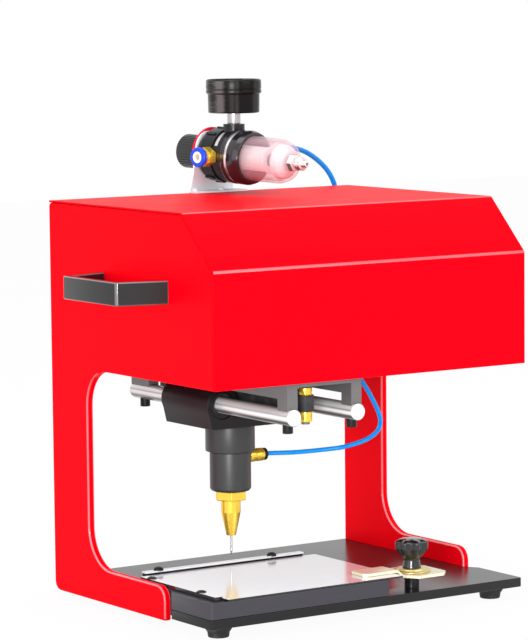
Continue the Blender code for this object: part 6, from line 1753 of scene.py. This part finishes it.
@dataclass
class Gauge(Assembly):
    """The upright pressure gauge with its dial."""

    centre: Point2 = (0.023, -0.030)
    dial_height: float = 0.541
    plate_radii: Point2 = (0.0013, 0.0262)
    plate_thickness: float = 0.0004
    print_lift: float = 0.00005
    needle_rest: float = math.radians(-135)
    sweep: float = math.radians(270)
    divisions: int = 10
    number_step: int = 2
    number_size: float = 0.0046
    number_radius: float = 0.0192
    tick_outer: float = 0.0252
    ticks: tuple[tuple[str, int, float, float], ...] = (("long", 1, 0.0225, 0.0007),
                                                        ("short", 5, 0.0236, 0.0003))
    pieces: tuple[Turned, ...] = (
        Turned("gauge_stem",
               ((0.0, 0.494), (0.0045, 0.494), (0.0045, 0.5013), (0.0074, 0.5013, 0.0006),
                (0.0074, 0.5133), (0.0, 0.5133)),
               "steel", steps=48),
        Turned("gauge_case",
               ((0.0, 0.5135), (0.0286, 0.5135, 0.0016), (0.0290, 0.5345, 0.0004),
                (0.0300, 0.5352, 0.0003), (0.0310, 0.5358, 0.0006), (0.0310, 0.5390, 0.0004),
                (0.0304, 0.5395, 0.0002), (0.0304, 0.5402, 0.0002), (0.0310, 0.5407, 0.0004),
                (0.0308, 0.5495, 0.0006), (0.0293, 0.551, 0.0008), (0.0280, 0.5508, 0.0002),
                (0.0280, 0.5467), (0.0265, 0.5467), (0.0265, 0.541), (0.001, 0.541),
                (0.001, 0.5433), (0.0, 0.5433)),
               "gauge_black", node="gauge_body", steps=96),
        Turned("gauge_glass",
               ((0.0, 0.547), (0.0277, 0.547, 0.0002), (0.0277, 0.549, 0.0003), (0.0, 0.5492)),
               "clear_lens", node="gauge_lens", steps=96))

    def _angle(self, share: float) -> float:
        """Return the needle's angle at a share of its sweep."""
        return self.needle_rest - self.sweep * share

    def _number(self, value: int, frame: Matrix, height: float) -> None:
        """Add one printed number of the dial."""
        name = f"dial_number_{value}"
        text = bpy.data.curves.new(name, "FONT")
        text.body = str(value)
        text.size = self.number_size
        text.align_x = text.align_y = "CENTER"
        text.extrude = self.print_lift
        number = Form.settle(in_scene(name, text))
        angle = self._angle(value / self.divisions)
        place = (self.number_radius * math.cos(angle), self.number_radius * math.sin(angle), height)
        number.data.transform(frame @ Matrix.Translation(place))
        self.fit(number, "screw_black")

    def _dial(self, frame: Matrix) -> None:
        """Add the dial plate, its ticks and its numbers."""
        high = self.dial_height + self.plate_thickness
        plate = tube(*self.plate_radii, (self.dial_height, high), (0.0, 0.0001))
        self.turn(frame, Turned("dial_plate", plate, "dial_white", closed=True))
        top = high + self.print_lift
        for name, parts, inner, width in self.ticks:
            count = self.divisions * parts
            radius = (inner + self.tick_outer) / 2
            angles = [self._angle(index / count) for index in range(count + 1)]
            spots = [((radius * math.cos(angle), radius * math.sin(angle), top), angle)
                     for angle in angles]
            self.repeat(Instance.BLOCK, f"dial_{name}_ticks", spots, frame, "screw_black",
                        Size=(self.tick_outer - inner, width, 0.0001))
        for value in range(0, self.divisions + 1, self.number_step):
            self._number(value, frame, top)

    def build(self) -> None:
        """Build the gauge's pieces."""
        frame = machine_frame(Axis.Z, self.centre)
        self.turn(frame, *self.pieces)
        self._dial(frame)
        self.refine("gauge_needle", "red_plastic", 0.0001, body="gauge_needle")


@dataclass
class RearPanel(Assembly):
    """The elbow, the control socket and the screws of the rear cover."""

    socket: Point2 = (-0.120, 0.304)
    socket_front: float = 0.0098
    screw_x: tuple[float, ...] = (-0.182, 0.0, 0.182)
    screw_z: tuple[float, ...] = (0.254, 0.414)
    screw_front: float = 0.0006
    pin_radius: float = 0.0046
    pin_count: int = 6

    def build(self) -> None:
        """Build the rear panel's pieces."""
        self.refine("rear_elbow", "brass", 0.0006, 3)
        self.refine("control_socket", "steel", 0.0004)
        frame = machine_frame(Axis.Y)
        screws = [((z, x, self.screw_front), 0.0) for x in self.screw_x for z in self.screw_z]
        self.repeat(Instance.BUTTON, "rear_cover_screws", screws, frame, "screw_black",
                    Radius=0.0032, Height=0.0016, Sides=20)
        x, z = self.socket
        ring = [spot for spot, _ in ring_of_spots(self.pin_count, self.pin_radius, 0.0)]
        pins = [((z + a, x + b, self.socket_front), 0.0) for a, b, _ in (*ring, (0.0, 0.0, 0.0))]
        self.repeat(Instance.BUTTON, "control_socket_pins", pins, frame, "brass",
                    Radius=0.0008, Height=0.0050, Sides=10)


@dataclass
class Studio:
    """The camera, the lamps and the pale floor."""

    camera_place: Point3 = (-1.93421, -2.85813, 0.66125)
    yaw: float = math.radians(33.909)
    pitch: float = math.radians(5.909)
    roll: float = math.radians(-0.5794)
    lens: float = 178.75
    sensor: float = 36.0
    far_clip: float = 50.0
    room_tint: Point3 = (0.97, 0.98, 1.0)
    room_strength: float = 0.80
    floor_size: float = 12.0
    floor_height: float = -0.0002
    floor_tint: Point3 = (0.86, 0.86, 0.86)
    floor_glow: float = 0.95
    middle: Point3 = (0.0, 0.0, 0.25)
    clamp_side: Point3 = (0.15, -0.05, 0.12)

    def camera(self) -> None:
        """Add the camera at the photograph's place."""
        data = bpy.data.cameras.new("camera")
        data.sensor_width = self.sensor
        data.lens = self.lens
        data.clip_end = self.far_clip
        forward = Vector((math.sin(self.yaw) * math.cos(self.pitch),
                          math.cos(self.yaw) * math.cos(self.pitch), -math.sin(self.pitch)))
        level = Vector((math.cos(self.yaw), -math.sin(self.yaw), 0.0))
        upright = level.cross(forward)
        right = math.cos(self.roll) * level + math.sin(self.roll) * upright
        up = math.cos(self.roll) * upright - math.sin(self.roll) * level
        camera = in_scene("camera", data)
        turn = Matrix((right, up, -forward)).transposed().to_4x4()
        turn.translation = Vector(self.camera_place)
        camera.matrix_world = turn
        bpy.context.scene.camera = camera

    def _lamp(self, name: str, place: Point3, aim: Point3, size: Point2, power: float) -> None:
        """Add one soft area lamp.

        Args:
            name: the lamp's name.
            place: where it stands.
            aim: the place that it shines at.
            size: its width and height.
            power: its power in watts.
        """
        data = bpy.data.lights.new(name, "AREA")
        data.shape = "RECTANGLE"
        data.size, data.size_y = size
        data.energy = power
        lamp = in_scene(name, data)
        lamp.location = place
        lamp.rotation_euler = (Vector(aim) - Vector(place)).to_track_quat("-Z", "Y").to_euler()

    def lamps(self) -> None:
        """Add the soft lamps."""
        self._lamp("key_lamp", (0.9, -2.4, 1.5), self.middle, (1.6, 1.6), 25.0)
        self._lamp("left_lamp", (-2.6, -0.6, 1.0), self.middle, (1.4, 1.8), 9.0)
        self._lamp("fill_lamp", (-2.3, -2.6, 0.45), self.clamp_side, (1.0, 0.8), 74.0)
        self._lamp("top_lamp", (-0.2, 0.3, 2.6), self.middle, (2.2, 1.6), 26.0)

    def world(self) -> None:
        """Add a pale world that the camera and mirrors see as white."""
        world = bpy.data.worlds.new("pale_room")
        world.use_nodes = True
        tree = Tree(world.node_tree)
        light = tree.node("ShaderNodeBackground", None,
                          {"Color": self.room_tint, "Strength": self.room_strength}).out(0)
        white = tree.node("ShaderNodeBackground", None, {"Color": WHITE}).out(0)
        blend = tree.node("ShaderNodeMixShader", None, {0: tree.seen(), 1: light, 2: white})
        tree.node("ShaderNodeOutputWorld", None, {"Surface": blend.out(0)})
        bpy.context.scene.world = world

    def floor(self) -> None:
        """Add the pale floor, which keeps a faint shadow."""
        side = around(0.0, self.floor_size / 2)
        shape = bmesh.new()
        shape.faces.new([shape.verts.new((x, y, self.floor_height))
                         for x, y in rectangle(side, side)])
        floor = Form.place("floor", shape)
        material = bpy.data.materials.new("floor_white")
        material.use_nodes = True
        tree = Tree(material.node_tree)
        matt = tree.node("ShaderNodeBsdfDiffuse", None, {"Color": self.floor_tint}).out(0)
        glow = tree.node("ShaderNodeEmission", None, {"Color": WHITE}).out(0)
        share = tree.seen() * self.floor_glow
        blend = tree.node("ShaderNodeMixShader", None, {0: share, 1: matt, 2: glow})
        tree.node("ShaderNodeOutputMaterial", None, {"Surface": blend.out(0)})
        floor.data.materials.append(material)

    def build(self) -> None:
        """Set the studio up."""
        bpy.context.scene.view_settings.view_transform = "Standard"
        self.camera()
        self.lamps()
        self.world()
        self.floor()


def main() -> None:
    """Load the frame, dress every sub-assembly and set up the studio."""
    logging.basicConfig(level=logging.INFO, format="%(message)s")
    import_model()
    finishes = Finishes()
    Studio().build()
    for kind in (Hoses, Shell, Base, Clamp, Handles, Gantry, MarkingHead, FilterRegulator, Gauge,
                 RearPanel):
        kind(finishes).build()


if __name__ == "__main__":
    main()
